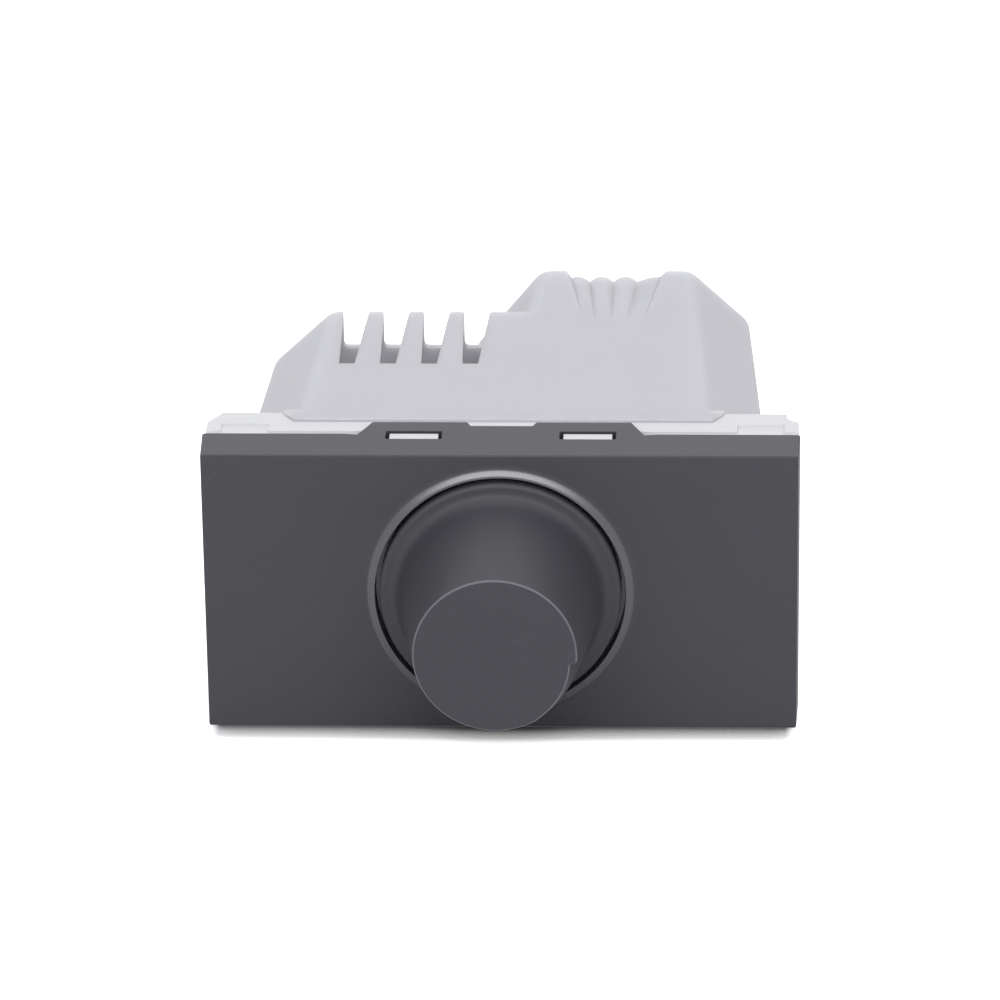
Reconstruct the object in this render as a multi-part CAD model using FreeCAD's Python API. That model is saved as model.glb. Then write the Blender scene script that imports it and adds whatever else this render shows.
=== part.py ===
import FreeCAD, Part
import math
import os

# Rotary dimmer module, millimetres.
# Places along the board are given in steps from its middle, 2.5 mm each.
# X runs along the long side of the face, Y from the face to the terminals, Z up.
# The module lies on its long side. The frame's origin is under the middle of the
# whole part: lengths along Y are first measured from the face plane, and every
# piece is shifted by the same amount when it is written.

# Module face
module_width = 45.0
module_height = 22.5
mid_z = module_height / 2

# Front cover
skirt_depth = 4.24
cover_plate = 1.3
cover_wall = 1.0
cover_flare = 0.18
cover_edge_round = 0.12
knob_hole_margin = 1.75
lip_width = 0.85
lip_height = 0.35
lip_brink = 0.01
lip_crest_round = 0.06
lip_foot_share = 0.35
tab_depth = 6.83
tab_half_root = 10.9
tab_half_tip = 9.85
tab_thickness = 0.7
tab_recess_half = 10.4
tab_recess_ramp = 1.45
tab_recess_front = 2.0
tab_recess = 0.1
middle_gap_half = 2.65
middle_gap_depth = 6.1
middle_gap_slant = 0.3
window_centre = 6.6
window_width = 4.3
window_front = 3.5
window_rear = 5.05

# Knob
knob_reach = 11.6
knob_taper = 1.33
knob_skirt_clearance = 0.33
knob_skirt_inside = 1.15
knob_wall = 1.25
knob_face_thickness = 1.3
knob_rim_round = 0.15
knob_flare_spread = 1.27
knob_neck_rear = 2.6
knob_skirt_step = 0.41
knob_flare_rear = 0.6
knob_skirt_round = 0.38
knob_notch_depth = 0.53
knob_notch_middle_depth = 0.43
knob_notch_start = -5.0
knob_notch_sweep = 57.0
knob_notch_middle = 25.0
knob_notch_fade = 1.2
knob_hub_radius = 4.5
knob_hub_rear = 3.3
knob_rib = 1.0
knob_rib_count = 4
knob_rib_turn = 45.0

# Chassis behind the cover
fit_gap = 0.15
chassis_end_gap = 0.05
chassis_inset = 0.75
chassis_rear = 10.25
chassis_front_wall_rear = 3.9
chassis_front_wall = 1.7
chassis_rim = 1.5
chassis_level_step = 0.35
chassis_step_depth = 6.6
chassis_side_wall = 3.98
chassis_top_wall = 2.25
board_ledge = 1.15
end_pocket_margin = 1.13
end_pocket_width = 3.6
end_pocket_depth = 8.05
end_pocket_drop = 0.2
end_ramp_start = 8.3
end_ramp_end = 10.0
end_ramp_inset = 0.9
end_step_start = 8.6
end_step_end = 9.4
end_step_share = 0.7
snap_notch_width = 6.5
snap_notch_length = 3.0
snap_notch_front = 5.2
snap_notch_depth = 1.0
clip_drop = 0.25
clip_corner = 0.25

# Rear housing
case_end_inset = 2.31
case_taper = 1.34
case_inset = 0.5
board_side_room = 3.87
board_steps = 6.58
board_room = module_width / 2 + cover_flare - chassis_end_gap - case_end_inset
board_step = (board_room - board_side_room) / board_steps
case_wall = 1.2
case_rear_wall = 0.9
case_corner_width = 4.85
case_corner_height = 4.5
case_corner_round = 1.8
comb_rear = 31.1
tower_rear = 40.4
tower_left_front = 1.3
tower_left_rear = 2.0
tower_corner_width = 5.4
tower_corner_height = 6.5
tower_rear_wall = 1.8
tongue_front = 8.5
tongue_margin = 4.32
tongue_spread = 0.9
tongue_slant_end = 9.9
tongue_thickness = 1.0
board_pad_x = 5.12 * board_step
board_pad_width = 1.2
board_pad_length = 2.4
board_pad_height = 1.5

# Vent slots
vent_count = 4
vent_first = -12.67
vent_pitch = 3.23
vent_front = 19.9
vent_width_front = 1.24
vent_width_rear = 2.05
vent_lean = 0.09
vent_foot_round = 0.35
vent_drop = 2.8

# Fluted recess on the tower
flute_count = 4
flute_first_share = 0.75
flute_last_share = 0.95
flute_front = 29.8
flute_centre = 8.05
flute_width_front = 4.87
flute_width_rear = 7.45
flute_flank = 0.5
flute_depth = 1.05
flute_crown = 0.48

# Snap hooks that hold the housing to the chassis
hook_half_height = 2.5
hook_arm = 1.2
hook_front = 6.9
hook_tooth = 0.9
hook_tooth_length = 1.1

# Potentiometer
shaft_radius = 3.0
shaft_flat = 1.5
shaft_front = 9.3
shaft_flat_rear = 3.2
shaft_gap = 0.05
bush_radius = 3.5
bush_front = 2.8
bush_collar = 0.4
bush_collar_radius = 4.5
can_side_gap = 0.25
can_length = 4.1
can_wall = 0.4
can_gap = 0.05
shaft_shoulder = 0.5
shaft_shoulder_radius = 4.4
wiper_margin = 1.7
wiper_thickness = 1.0
wiper_gap = 0.6
wiper_finger_width = 1.6
wiper_finger_edge = 0.9
wiper_finger_length = 1.5
wiper_overlap = 0.1
track_thickness = 0.9
pot_pin_radius = 0.45
pot_pin_side_margin = 3.0
pot_pin_margin = 1.6
pot_foot_margin = 0.9
pot_pin_stub = 0.15
pot_pin_head_radius = 0.75
pot_pin_head = 0.25
washer_radius = 5.4
washer_thickness = 0.45
washer_teeth = 12
washer_notch_depth = 0.7
washer_notch_half = 0.35
nut_across_flats = 10.0
nut_thickness = 2.0
nut_bevel = 0.2
nut_bevel_spread = 3.0
nut_bevel_height = 2.6
clip_thickness = 0.4
clip_width = 3.6
clip_length = 4.6
clip_set_back = 0.4

# Circuit board and the leads that it carries
board_thickness = 1.6
board_margin = 0.15
lead_radius = 0.35
lead_hole_gap = 0.1
lead_stub = 0.5
component_stand = 0.25
component_corner = 0.4

# Triac, heat sink and their screw
triac_width = 10.0
triac_body_length = 9.0
triac_thickness = 1.8 * board_step
triac_tab_length = 6.5
triac_tab_thickness = 1.3
triac_hole_radius = 1.9
triac_hole_offset = 3.4
triac_bevel = 0.4
triac_lead_pitch = 2.54
triac_stand = 1.8
triac_outer_x = -board_steps * board_step
sink_thickness = 1.4
sink_corner_gap = 0.55
sink_front = 13.4
sink_rear = 29.5
sink_foot = 5.2
sink_bend = 1.0
screw_radius = 1.5
screw_head_radius = 2.7
screw_head_height = 2.0
screw_head_round = 0.6
screw_tip = 0.2
screw_slot_width = 0.8
screw_slot_depth = 0.9

# Choke
choke_x = -1.36 * board_step
choke_radius = 2.48 * board_step
choke_length = 14.0
choke_flange = 1.5
choke_rod_radius = 1.04 * board_step
choke_winding_radius = 2.2 * board_step
choke_winding_gap = 0.1
choke_lead_angle = 35.0

# Small components
mains_cap_strap_gap = 0.3
mains_cap_side_room = 3.52
mains_cap_height = 12.5
mains_cap_depth = 12.0
mains_cap_lead_pitch = 10.0
timing_cap_drop = 5.8
timing_cap_width = 7.2
timing_cap_height = 3.4
timing_cap_depth = 7.0
timing_cap_lead_pitch = 5.0
fuse_gap = 0.3
fuse_rise = 5.4
fuse_radius = 3.5
fuse_length = 7.6
fuse_lead_pitch = 5.08
fuse_round = 0.6
resistor_radius = 1.0
resistor_gap = 0.05
resistor_length = 5.0
resistor_side_margin = 3.95
resistor_lead_pitch = 6.2
diac_x = 1.16 * board_step
diac_rise = 5.5
diac_radius = 0.9
diac_length = 3.4
diac_lead_pitch = 4.6

# Terminals in the tower
terminal_x = 8.0
terminal_pitch = 5.8
bar_rise = 9.5
bar_thickness = 1.0
bar_half_width = 1.45
strap_half_width = 1.0
strap_rear = 30.4
wire_space = 3.3
wire_hole_radius = 1.6
wire_funnel_radius = 2.2
wire_funnel_depth = 0.5
cage_half_width = 2.35
cage_side = 0.75
cage_depth = 5.0
cage_crown = 1.0
cage_nut_wall = 1.4
cage_corner = 0.6
clamp_travel = 2.5
clamp_screw_radius = 1.5
clamp_head_radius = 2.2
clamp_head_height = 1.6
clamp_head_round = 0.4
clamp_gap = 0.3
driver_hole_radius = 2.0
carrier_wall = 0.6
carrier_front_wall = 0.9
carrier_gap = 0.2
carrier_below_bar = 4.15
carrier_above_bar = 6.65
carrier_ledge = 1.2

V = FreeCAD.Vector
OUT = "parts"
os.makedirs(OUT, exist_ok=True)

# Places worked out from the sizes above
part_middle_y = (tower_rear - knob_reach) / 2
chassis_half_width = module_width / 2 + cover_flare - chassis_end_gap
chassis_height = module_height - 2 * chassis_inset
chassis_top = mid_z + chassis_height / 2
chassis_bottom = mid_z - chassis_height / 2
chassis_low_top = chassis_top - chassis_level_step
chassis_front_half = module_width / 2 - cover_wall - fit_gap
end_pocket_outer = chassis_half_width - end_pocket_margin
end_pocket_inner = end_pocket_outer - end_pocket_width
case_half_front = chassis_half_width - case_end_inset
case_half_rear = case_half_front - case_taper
tongue_half_front = case_half_front - tongue_margin
tongue_half_rear = tongue_half_front + tongue_spread
case_height = module_height - 2 * case_inset
case_top = mid_z + case_height / 2
case_bottom = mid_z - case_height / 2
knob_hole_radius = mid_z - knob_hole_margin
lip_radius = knob_hole_radius + lip_width
knob_skirt_radius = knob_hole_radius - knob_skirt_clearance
knob_flare_radius = knob_skirt_radius - knob_skirt_step
knob_neck_radius = knob_flare_radius - knob_flare_spread
knob_front_radius = knob_neck_radius - knob_taper
board_rear = chassis_rear
board_front = board_rear - board_thickness
cavity_half = chassis_half_width - chassis_side_wall - fit_gap
cavity_half_height = chassis_height / 2 - chassis_top_wall
ledge_half = cavity_half + board_ledge - board_margin
ledge_half_height = cavity_half_height + board_ledge - board_margin
board_half = ledge_half - board_margin
board_half_height = ledge_half_height - board_margin
hook_x = cavity_half - fit_gap
front_wall_front = chassis_front_wall_rear - chassis_front_wall
can_radius = cavity_half_height - can_side_gap
wiper_radius = can_radius - wiper_margin
wiper_finger_outer = wiper_radius - wiper_finger_edge
wiper_finger_inner = wiper_finger_outer - wiper_finger_length
pot_pin_pitch = can_radius - pot_pin_side_margin
pot_pin_drop = can_radius - pot_pin_margin
sink_height = case_height - 2 * (case_corner_height + sink_corner_gap)
mains_cap_inner = terminal_x + terminal_pitch / 2 + strap_half_width + mains_cap_strap_gap
mains_cap_outer = case_half_front - mains_cap_side_room
mains_cap_x = (mains_cap_inner + mains_cap_outer) / 2
mains_cap_width = mains_cap_outer - mains_cap_inner
timing_cap_x = mains_cap_inner - timing_cap_width / 2
fuse_x = mains_cap_inner - fuse_gap - fuse_radius
resistor_x = triac_outer_x + triac_thickness + resistor_gap + resistor_radius
resistor_offset = cavity_half_height - resistor_side_margin
timing_cap_z = case_top - timing_cap_drop
fuse_z = case_bottom + fuse_rise
diac_z = case_bottom + diac_rise
bar_z = case_bottom + bar_rise
can_front = chassis_front_wall_rear + can_gap
can_rear = can_front + can_length
collar_front = can_front + can_wall
shoulder_front = collar_front + bush_collar + can_gap
wiper_front = shoulder_front + shaft_shoulder
track_front = wiper_front + wiper_thickness + wiper_gap
terminal_xs = (terminal_x - terminal_pitch / 2, terminal_x + terminal_pitch / 2)
cage_inner_height = bar_thickness + wire_space + clamp_gap + carrier_ledge
cage_floor = bar_z - clamp_gap - carrier_ledge
cage_height = cage_nut_wall + cage_inner_height + cage_crown
cage_bottom = cage_floor - cage_nut_wall
clamp_head_top = cage_bottom - clamp_travel - clamp_gap
wire_z = bar_z + bar_thickness + wire_space / 2
carrier_front = comb_rear + carrier_gap
carrier_rear = tower_rear - tower_rear_wall - carrier_gap
terminal_y = (carrier_front + carrier_front_wall + carrier_rear - carrier_wall) / 2


def box(x0, x1, y0, y1, z0, z1):
    return Part.makeBox(x1 - x0, y1 - y0, z1 - z0, V(x0, y0, z0))


def rod_y(x, z, radius, y0, y1):
    return Part.makeCylinder(radius, y1 - y0, V(x, y0, z), V(0, 1, 0))


def rod_z(x, y, radius, z0, z1):
    return Part.makeCylinder(radius, z1 - z0, V(x, y, z0), V(0, 0, 1))


def rod_x(y, z, radius, x0, x1):
    return Part.makeCylinder(radius, x1 - x0, V(x0, y, z), V(1, 0, 0))


def joined(pieces):
    body = pieces[0]
    for piece in pieces[1:]:
        body = body.fuse(piece)
    return body.removeSplitter()


def without(body, tools):
    for tool in tools:
        body = body.cut(tool)
    return body


def flat_plate(points, z0, z1):
    wire = Part.makePolygon([V(x, y, z0) for x, y in points + points[:1]])
    return Part.Face(wire).extrude(V(0, 0, z1 - z0))


def over_and_under(shape):
    """The shape and its mirror image below the middle of the module."""
    return [shape, shape.mirror(V(0, 0, mid_z), V(0, 0, 1))]


def left_and_right(shape):
    return [shape, shape.mirror(V(0, 0, 0), V(1, 0, 0))]


def rounded_wire(corners, y):
    """Closed outline in a plane across Y; each corner is (x, z, radius)."""
    edges = []
    count = len(corners)
    points = []
    for i in range(count):
        x, z, radius = corners[i]
        here = V(x, y, z)
        before = V(corners[i - 1][0], y, corners[i - 1][1]) - here
        after = V(corners[(i + 1) % count][0], y, corners[(i + 1) % count][1]) - here
        before.normalize()
        after.normalize()
        half = before.getAngle(after) / 2
        run = radius / math.tan(half)
        bisector = before + after
        bisector.normalize()
        middle = here + bisector * (radius / math.sin(half) - radius)
        points.append((here + before * run, middle, here + after * run))
    for i in range(count):
        start, middle, end = points[i]
        following = points[(i + 1) % count][0]
        edges.append(Part.Arc(start, middle, end).toShape())
        edges.append(Part.LineSegment(end, following).toShape())
    return Part.Wire(edges)


def case_half(y):
    share = (y - chassis_rear) / (tower_rear - chassis_rear)
    return case_half_front + (case_half_rear - case_half_front) * share


def tower_left(y):
    share = (y - comb_rear) / (tower_rear - comb_rear)
    return tower_left_front + (tower_left_rear - tower_left_front) * share


def inset_corner(width, height, inset):
    """Width and height of a slanted corner once the outline is moved in."""
    slope = math.atan2(height, width)
    return (width - inset + inset * math.tan(slope / 2),
            height - inset + inset * math.tan(math.pi / 4 - slope / 2))


def case_outline(y, left_x, left_corner, inset):
    """Section of the housing across Y, with four slanted and rounded corners."""
    width, height = inset_corner(case_corner_width, case_corner_height, inset)
    left_width, left_height = inset_corner(left_corner[0], left_corner[1], inset)
    right = case_half(y) - inset
    left = left_x + inset
    top = case_top - inset
    bottom = case_bottom + inset
    turn = max(case_corner_round - inset, case_corner_round / 4)
    outline = [
        (left + left_width, bottom, turn), (right - width, bottom, turn),
        (right, bottom + height, turn), (right, top - height, turn),
        (right - width, top, turn), (left + left_width, top, turn),
        (left, top - left_height, turn), (left, bottom + left_height, turn),
    ]
    return rounded_wire(outline, y)


def case_block(y0, y1, inset, tower=False):
    wires = []
    for y in (y0, y1):
        if tower:
            left = tower_left(y) - tower_corner_width
            corner = (tower_corner_width, tower_corner_height)
        else:
            left = -case_half(y)
            corner = (case_corner_width, case_corner_height)
        wires.append(case_outline(y, left, corner, inset))
    return Part.makeLoft(wires, True, True)


def vent_tools():
    """Tapered slots through the long walls and down the rear wall."""
    tools = []
    rear = comb_rear + case_wall
    for i in range(vent_count):
        x = vent_first + i * vent_pitch
        half_front = vent_width_front / 2
        spread = (vent_width_rear - vent_width_front) / 2 / (comb_rear - vent_front)
        half_rear = half_front + spread * (rear - vent_front)
        lean = vent_lean * (rear - vent_front) / (comb_rear - vent_front)
        floor = case_top - vent_drop
        outline = [(x + lean - half_rear, rear), (x - half_front, vent_front),
                   (x + half_front, vent_front), (x + lean + half_rear, rear)]
        slot = flat_plate(outline, floor, case_top + case_wall)
        feet = [edge for edge in slot.Edges
                if abs(edge.CenterOfMass.z - floor) < 0.01 and edge.Length > vent_drop * 2]
        slot = slot.makeFillet(vent_foot_round, feet)
        tools += over_and_under(slot)
    return tools


def flute_wire(y, width, flank, floor, crown):
    """Outline above convex flutes: the first is cut by its flank, the last rises into it."""
    left = flute_centre - width / 2
    right = flute_centre + width / 2
    above = case_top + case_wall
    rim = max(case_top, floor)
    pitch = width / (flute_first_share + flute_count - 2 + flute_last_share)

    def crest(x, share):
        return V(x, y, floor + crown * (1 - (2 * share - 1) ** 2))

    begin = 1 - flute_first_share
    path = [Part.LineSegment(V(left - flank, y, above), V(left - flank, y, rim)).toShape(),
            Part.LineSegment(V(left - flank, y, rim), crest(left, begin)).toShape()]
    start = left
    for i in range(flute_count):
        finish = 1
        stop = start + pitch * (finish - begin)
        if i == flute_count - 1:
            finish = 0.5
            stop = right
        path.append(Part.Arc(crest(start, begin), crest((start + stop) / 2, (begin + finish) / 2),
                             crest(stop, finish)).toShape())
        start = stop
        begin = 0
    end = path[-1].Vertexes[-1].Point
    path += [Part.LineSegment(end, V(right + flank, y, rim)).toShape(),
             Part.LineSegment(V(right + flank, y, rim), V(right + flank, y, above)).toShape(),
             Part.LineSegment(V(right + flank, y, above), V(left - flank, y, above)).toShape()]
    return Part.Wire(path)


def flute_tool():
    """Space above the fluted grip, which sinks from flush towards the rear."""
    start = flute_wire(flute_front, flute_width_front, flute_flank / 10,
                       case_top - flute_flank / 50, flute_crown / 6)
    end = flute_wire(tower_rear + case_wall, flute_width_rear, flute_flank,
                     case_top - flute_depth, flute_crown)
    return Part.makeLoft([start, end], True, True)


def hook_tools_and_arms():
    """Snap arms of the housing, and the room that the chassis gives them."""
    tooth_rear = hook_front + hook_tooth_length
    inner = hook_x - hook_arm
    arm = box(inner, hook_x, hook_front, chassis_rear + board_pad_length,
              mid_z - hook_half_height, mid_z + hook_half_height)
    root = box(inner, case_half(chassis_rear) - case_wall / 2, chassis_rear + fit_gap,
               chassis_rear + board_pad_length,
               mid_z - hook_half_height, mid_z + hook_half_height)
    tooth = flat_plate([(hook_x, hook_front), (hook_x + hook_tooth, tooth_rear - hook_tooth / 3),
                        (hook_x + hook_tooth, tooth_rear), (hook_x, tooth_rear)],
                       mid_z - hook_half_height, mid_z + hook_half_height)
    arm = joined([arm, root, tooth])
    room = box(hook_x, hook_x + hook_tooth + fit_gap, hook_front - fit_gap, tooth_rear + fit_gap,
               mid_z - hook_half_height - fit_gap, mid_z + hook_half_height + fit_gap)
    return left_and_right(room), left_and_right(arm)


def make_rear_housing():
    body = case_block(chassis_rear, tower_rear, 0)
    keep = case_block(comb_rear - case_wall, tower_rear, 0, tower=True)
    rear_left = box(-module_width, module_width, comb_rear, tower_rear + case_wall,
                    case_bottom - 1, case_top + 1)
    body = without(body, [rear_left.cut(keep)])
    tongue = flat_plate(
        [(-tongue_half_front, tongue_front), (tongue_half_front, tongue_front),
         (tongue_half_rear, tongue_slant_end), (tongue_half_rear, chassis_rear),
         (case_half_front - case_corner_width, chassis_rear),
         (case_half_front - case_corner_width, chassis_rear + case_wall),
         (case_corner_width - case_half_front, chassis_rear + case_wall),
         (case_corner_width - case_half_front, chassis_rear),
         (-tongue_half_rear, chassis_rear), (-tongue_half_rear, tongue_slant_end)],
        case_top - tongue_thickness, case_top)
    main_room = case_block(chassis_rear - case_wall, comb_rear - case_rear_wall, case_wall)
    tower_room = case_block(comb_rear - case_wall, tower_rear - tower_rear_wall, case_wall,
                            tower=True)
    front_half = box(-module_width, module_width, chassis_rear - 2 * case_wall, chassis_rear,
                     case_bottom - 1, case_top + 1)
    body = without(body, [main_room, tower_room, flute_tool()] + vent_tools())
    room_ahead = main_room.cut(front_half)
    body = joined([body] + [piece.cut(room_ahead) for piece in over_and_under(tongue)])
    additions = hook_tools_and_arms()[1]
    for centre in (-board_pad_x, board_pad_x):
        pad = box(centre - board_pad_width / 2, centre + board_pad_width / 2,
                  chassis_rear + can_gap, chassis_rear + board_pad_length,
                  case_top - case_wall - board_pad_height, case_top - case_wall / 2)
        additions += over_and_under(pad)
    body = joined([body] + additions)
    tools = []
    for x in terminal_xs:
        rear = tower_rear
        tools.append(rod_y(x, wire_z, wire_hole_radius, rear - 2 * tower_rear_wall, rear + 1))
        tools.append(Part.makeCone(wire_hole_radius, wire_funnel_radius, wire_funnel_depth,
                                   V(x, rear - wire_funnel_depth, wire_z), V(0, 1, 0)))
        tools.append(rod_z(x, terminal_y, driver_hole_radius, case_bottom - 1,
                           case_bottom + 2 * case_wall))
    return without(body, tools)


def make_front_cover():
    half = module_width / 2
    shell = flat_plate([(-half, 0), (half, 0), (half + cover_flare, skirt_depth),
                        (-half - cover_flare, skirt_depth)], 0, module_height)
    face_edges = [edge for edge in shell.Edges if abs(edge.CenterOfMass.y) < 0.01]
    shell = shell.makeFillet(cover_edge_round, face_edges)
    inside = box(-half + cover_wall, half - cover_wall, cover_plate, skirt_depth + 1,
                 cover_wall, module_height - cover_wall)
    shell = shell.cut(inside)
    root = skirt_depth - cover_wall
    inner_front = middle_gap_half - middle_gap_slant
    tab = flat_plate(
        [(-tab_half_root, root), (tab_half_root, root), (tab_half_root, skirt_depth),
         (tab_half_tip, tab_depth), (middle_gap_half, tab_depth),
         (inner_front, middle_gap_depth), (-inner_front, middle_gap_depth),
         (-middle_gap_half, tab_depth), (-tab_half_tip, tab_depth), (-tab_half_root, skirt_depth)],
        module_height - tab_thickness, module_height)
    window = box(window_centre - window_width / 2, window_centre + window_width / 2,
                 window_front, window_rear, module_height - 2 * cover_wall, module_height + 1)
    windows = []
    for side in left_and_right(window):
        windows += over_and_under(side)
    shell = joined([shell] + over_and_under(tab) + [cover_lip()])
    shell = without(shell, over_and_under(tab_recess_tool()))
    hole = rod_y(0, mid_z, knob_hole_radius, -2, cover_plate + 1)
    return without(shell, windows + [hole])


def tab_recess_tool():
    """Shallow recess round the tabs, which fades out towards its ends."""
    low = module_height - tab_recess
    outer = tab_recess_half + tab_recess_ramp
    outline = [(-outer, module_height + 1), (-outer, module_height), (-tab_recess_half, low),
               (tab_recess_half, low), (outer, module_height), (outer, module_height + 1)]
    corners = [V(x, tab_recess_front, z) for x, z in outline + outline[:1]]
    return Part.Face(Part.makePolygon(corners)).extrude(V(0, tab_depth + 1 - tab_recess_front, 0))


def cover_lip():
    """Ring that sweeps up from the face to a crisp crest at the knob hole."""
    foot = V(lip_radius, 0, mid_z)
    crest = V(knob_hole_radius + lip_crest_round, -lip_height, mid_z)
    slope = Part.BezierCurve()
    slope.setPoles([foot, foot - V((foot.x - crest.x) * lip_foot_share, 0, 0), crest])
    brink = knob_hole_radius - lip_brink
    fall = lip_crest_round / math.sqrt(2)
    inner = Part.Arc(crest, V(crest.x - fall, crest.y + lip_crest_round - fall, mid_z),
                     V(brink, crest.y + lip_crest_round, mid_z)).toShape()
    low = V(brink, cover_plate / 2, mid_z)
    back = V(lip_radius, cover_plate / 2, mid_z)
    outline = Part.Wire([slope.toShape(), inner,
                         Part.LineSegment(inner.Vertexes[-1].Point, low).toShape(),
                         Part.LineSegment(low, back).toShape(),
                         Part.LineSegment(back, foot).toShape()])
    return Part.Face(outline).revolve(V(0, 0, mid_z), V(0, 1, 0), 360)


def knob_body(inset):
    """Turned form: slender neck, hollow flare and rounded skirt, moved in by a wall."""
    front = -knob_reach + inset
    rim = V(knob_front_radius - inset, front, mid_z)
    neck = V(knob_neck_radius - inset, -knob_neck_rear, mid_z)
    flare = V(knob_flare_radius - inset, -knob_flare_rear, mid_z)
    skirt = V(knob_skirt_radius - inset, -knob_flare_rear + knob_skirt_round, mid_z)
    back = V(skirt.x, knob_skirt_inside + inset, mid_z)
    run = (neck - rim).normalize() * (flare.x - neck.x)
    hollow = Part.BezierCurve()
    hollow.setPoles([neck, neck + run, flare - V(run.Length, 0, 0) * 0.7, flare])
    corner = skirt.x - flare.x
    shoulder = flare + V(corner * math.sin(math.pi / 4),
                         knob_skirt_round * (1 - math.cos(math.pi / 4)), 0)
    outline = Part.Wire([
        Part.LineSegment(V(0, front, mid_z), rim).toShape(),
        Part.LineSegment(rim, neck).toShape(), hollow.toShape(),
        Part.Arc(flare, shoulder, skirt).toShape(),
        Part.LineSegment(skirt, back).toShape(),
        Part.LineSegment(back, V(0, back.y, mid_z)).toShape(),
        Part.LineSegment(V(0, back.y, mid_z), V(0, front, mid_z)).toShape()])
    return Part.Face(outline).revolve(V(0, 0, mid_z), V(0, 1, 0), 360)


def turned(radius, degrees, y):
    angle = math.radians(degrees)
    return V(radius * math.cos(angle), y, mid_z + radius * math.sin(angle))


def knob_notch():
    """Pointer step along the neck: a small shoulder, then a slow return to the round."""
    stop = knob_notch_start - knob_notch_sweep
    halfway = knob_notch_start - knob_notch_middle
    far = 2 * knob_skirt_radius
    front = -knob_reach - knob_rim_round
    wires = []
    for y, full, share in ((front, knob_front_radius, 1), (-knob_notch_fade, knob_skirt_radius, 0)):
        start = turned(full - share * knob_notch_depth, knob_notch_start, y)
        middle = turned(full - share * knob_notch_middle_depth, halfway, y)
        end = turned(full, stop, y)
        outer_end = turned(far, stop, y)
        outer_start = turned(far, knob_notch_start, y)
        wires.append(Part.Wire([Part.Arc(start, middle, end).toShape(),
                                Part.LineSegment(end, outer_end).toShape(),
                                Part.LineSegment(outer_end, outer_start).toShape(),
                                Part.LineSegment(outer_start, start).toShape()]))
    return Part.makeLoft(wires, True, True)


def make_knob():
    knob = knob_body(0).cut(knob_notch())
    rim = [edge for edge in knob.Edges if abs(edge.CenterOfMass.y + knob_reach) < 0.01]
    knob = knob.makeFillet(knob_rim_round, rim)
    hollow = knob_body(knob_wall)
    hub_front = -knob_reach + knob_face_thickness / 2
    hub = rod_y(0, mid_z, knob_hub_radius, hub_front, -knob_hub_rear)
    ribs = []
    for i in range(knob_rib_count):
        rib = box(0, knob_skirt_radius, hub_front, -knob_hub_rear,
                  mid_z - knob_rib / 2, mid_z + knob_rib / 2)
        rib.rotate(V(0, 0, mid_z), V(0, 1, 0), knob_rib_turn + i * 360 / knob_rib_count)
        ribs.append(rib.common(hollow))
    shell = joined([knob.cut(hollow), hub] + ribs)
    bore = rod_y(0, mid_z, shaft_radius + shaft_gap, -shaft_front - fit_gap, -knob_hub_rear + 1)
    flat_side = shaft_flat + clip_thickness + 2 * shaft_gap
    filler = box(-shaft_radius, shaft_radius, -shaft_front - fit_gap, -knob_hub_rear + 1,
                 mid_z + flat_side, mid_z + 2 * shaft_radius)
    return shell.cut(bore.cut(filler))


def make_knob_clip():
    low = shaft_flat + shaft_gap
    high = low + clip_thickness
    rear = -knob_hub_rear - clip_set_back
    return box(-clip_width / 2, clip_width / 2, rear - clip_length, rear, mid_z + low, mid_z + high)


def make_pot_shaft():
    shaft = rod_y(0, mid_z, shaft_radius, -shaft_front, shoulder_front)
    flat = box(-shaft_radius, shaft_radius, -shaft_front - 1, -shaft_flat_rear,
               mid_z + shaft_flat, mid_z + 2 * shaft_radius)
    shoulder = rod_y(0, mid_z, shaft_shoulder_radius, shoulder_front, wiper_front)
    spigot = rod_y(0, mid_z, shaft_radius / 2, wiper_front, wiper_front + wiper_thickness)
    tip = shaft.cut(flat)
    return joined([tip, shoulder, spigot])


def make_pot_wiper():
    rear = wiper_front + wiper_thickness
    disc = rod_y(0, mid_z, wiper_radius, wiper_front, rear)
    disc = disc.cut(rod_y(0, mid_z, shaft_radius / 2, wiper_front - 1, rear + 1))
    finger = box(-wiper_finger_width / 2, wiper_finger_width / 2, rear - wiper_overlap,
                 track_front - shaft_gap, mid_z + wiper_finger_inner, mid_z + wiper_finger_outer)
    return joined([disc, finger])


def make_pot_body():
    can = rod_y(0, mid_z, can_radius, can_front, can_rear)
    room = rod_y(0, mid_z, can_radius - can_wall, can_front + can_wall, can_rear + 1)
    neck = rod_y(0, mid_z, bush_radius + shaft_gap, can_front - 1, can_front + 1)
    key_half = pot_foot_half() + shaft_gap
    key_top = mid_z - math.sqrt((can_radius - can_wall) ** 2 - key_half ** 2) + can_wall
    key = box(-key_half, key_half, track_front - can_wall, can_rear + 1,
              mid_z - can_radius - 1, key_top)
    return without(can, [room, neck, key])


def make_pot_bush():
    tube = rod_y(0, mid_z, bush_radius, -bush_front, collar_front)
    collar = rod_y(0, mid_z, bush_collar_radius, collar_front, collar_front + bush_collar)
    bore = rod_y(0, mid_z, shaft_radius + shaft_gap, -bush_front - 1,
                 collar_front + bush_collar + 1)
    return joined([tube, collar]).cut(bore)


def make_pot_washer():
    rear = front_wall_front
    ring = rod_y(0, mid_z, washer_radius, rear - washer_thickness, rear)
    notches = []
    for i in range(washer_teeth):
        notch = box(washer_radius - washer_notch_depth, washer_radius + 1, rear - 1, rear + 1,
                    mid_z - washer_notch_half, mid_z + washer_notch_half)
        notch.rotate(V(0, 0, mid_z), V(0, 1, 0), i * 360 / washer_teeth)
        notches.append(notch)
    hole = rod_y(0, mid_z, bush_radius + shaft_gap, rear - 1, rear + 1)
    return without(ring, notches + [hole])


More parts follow.
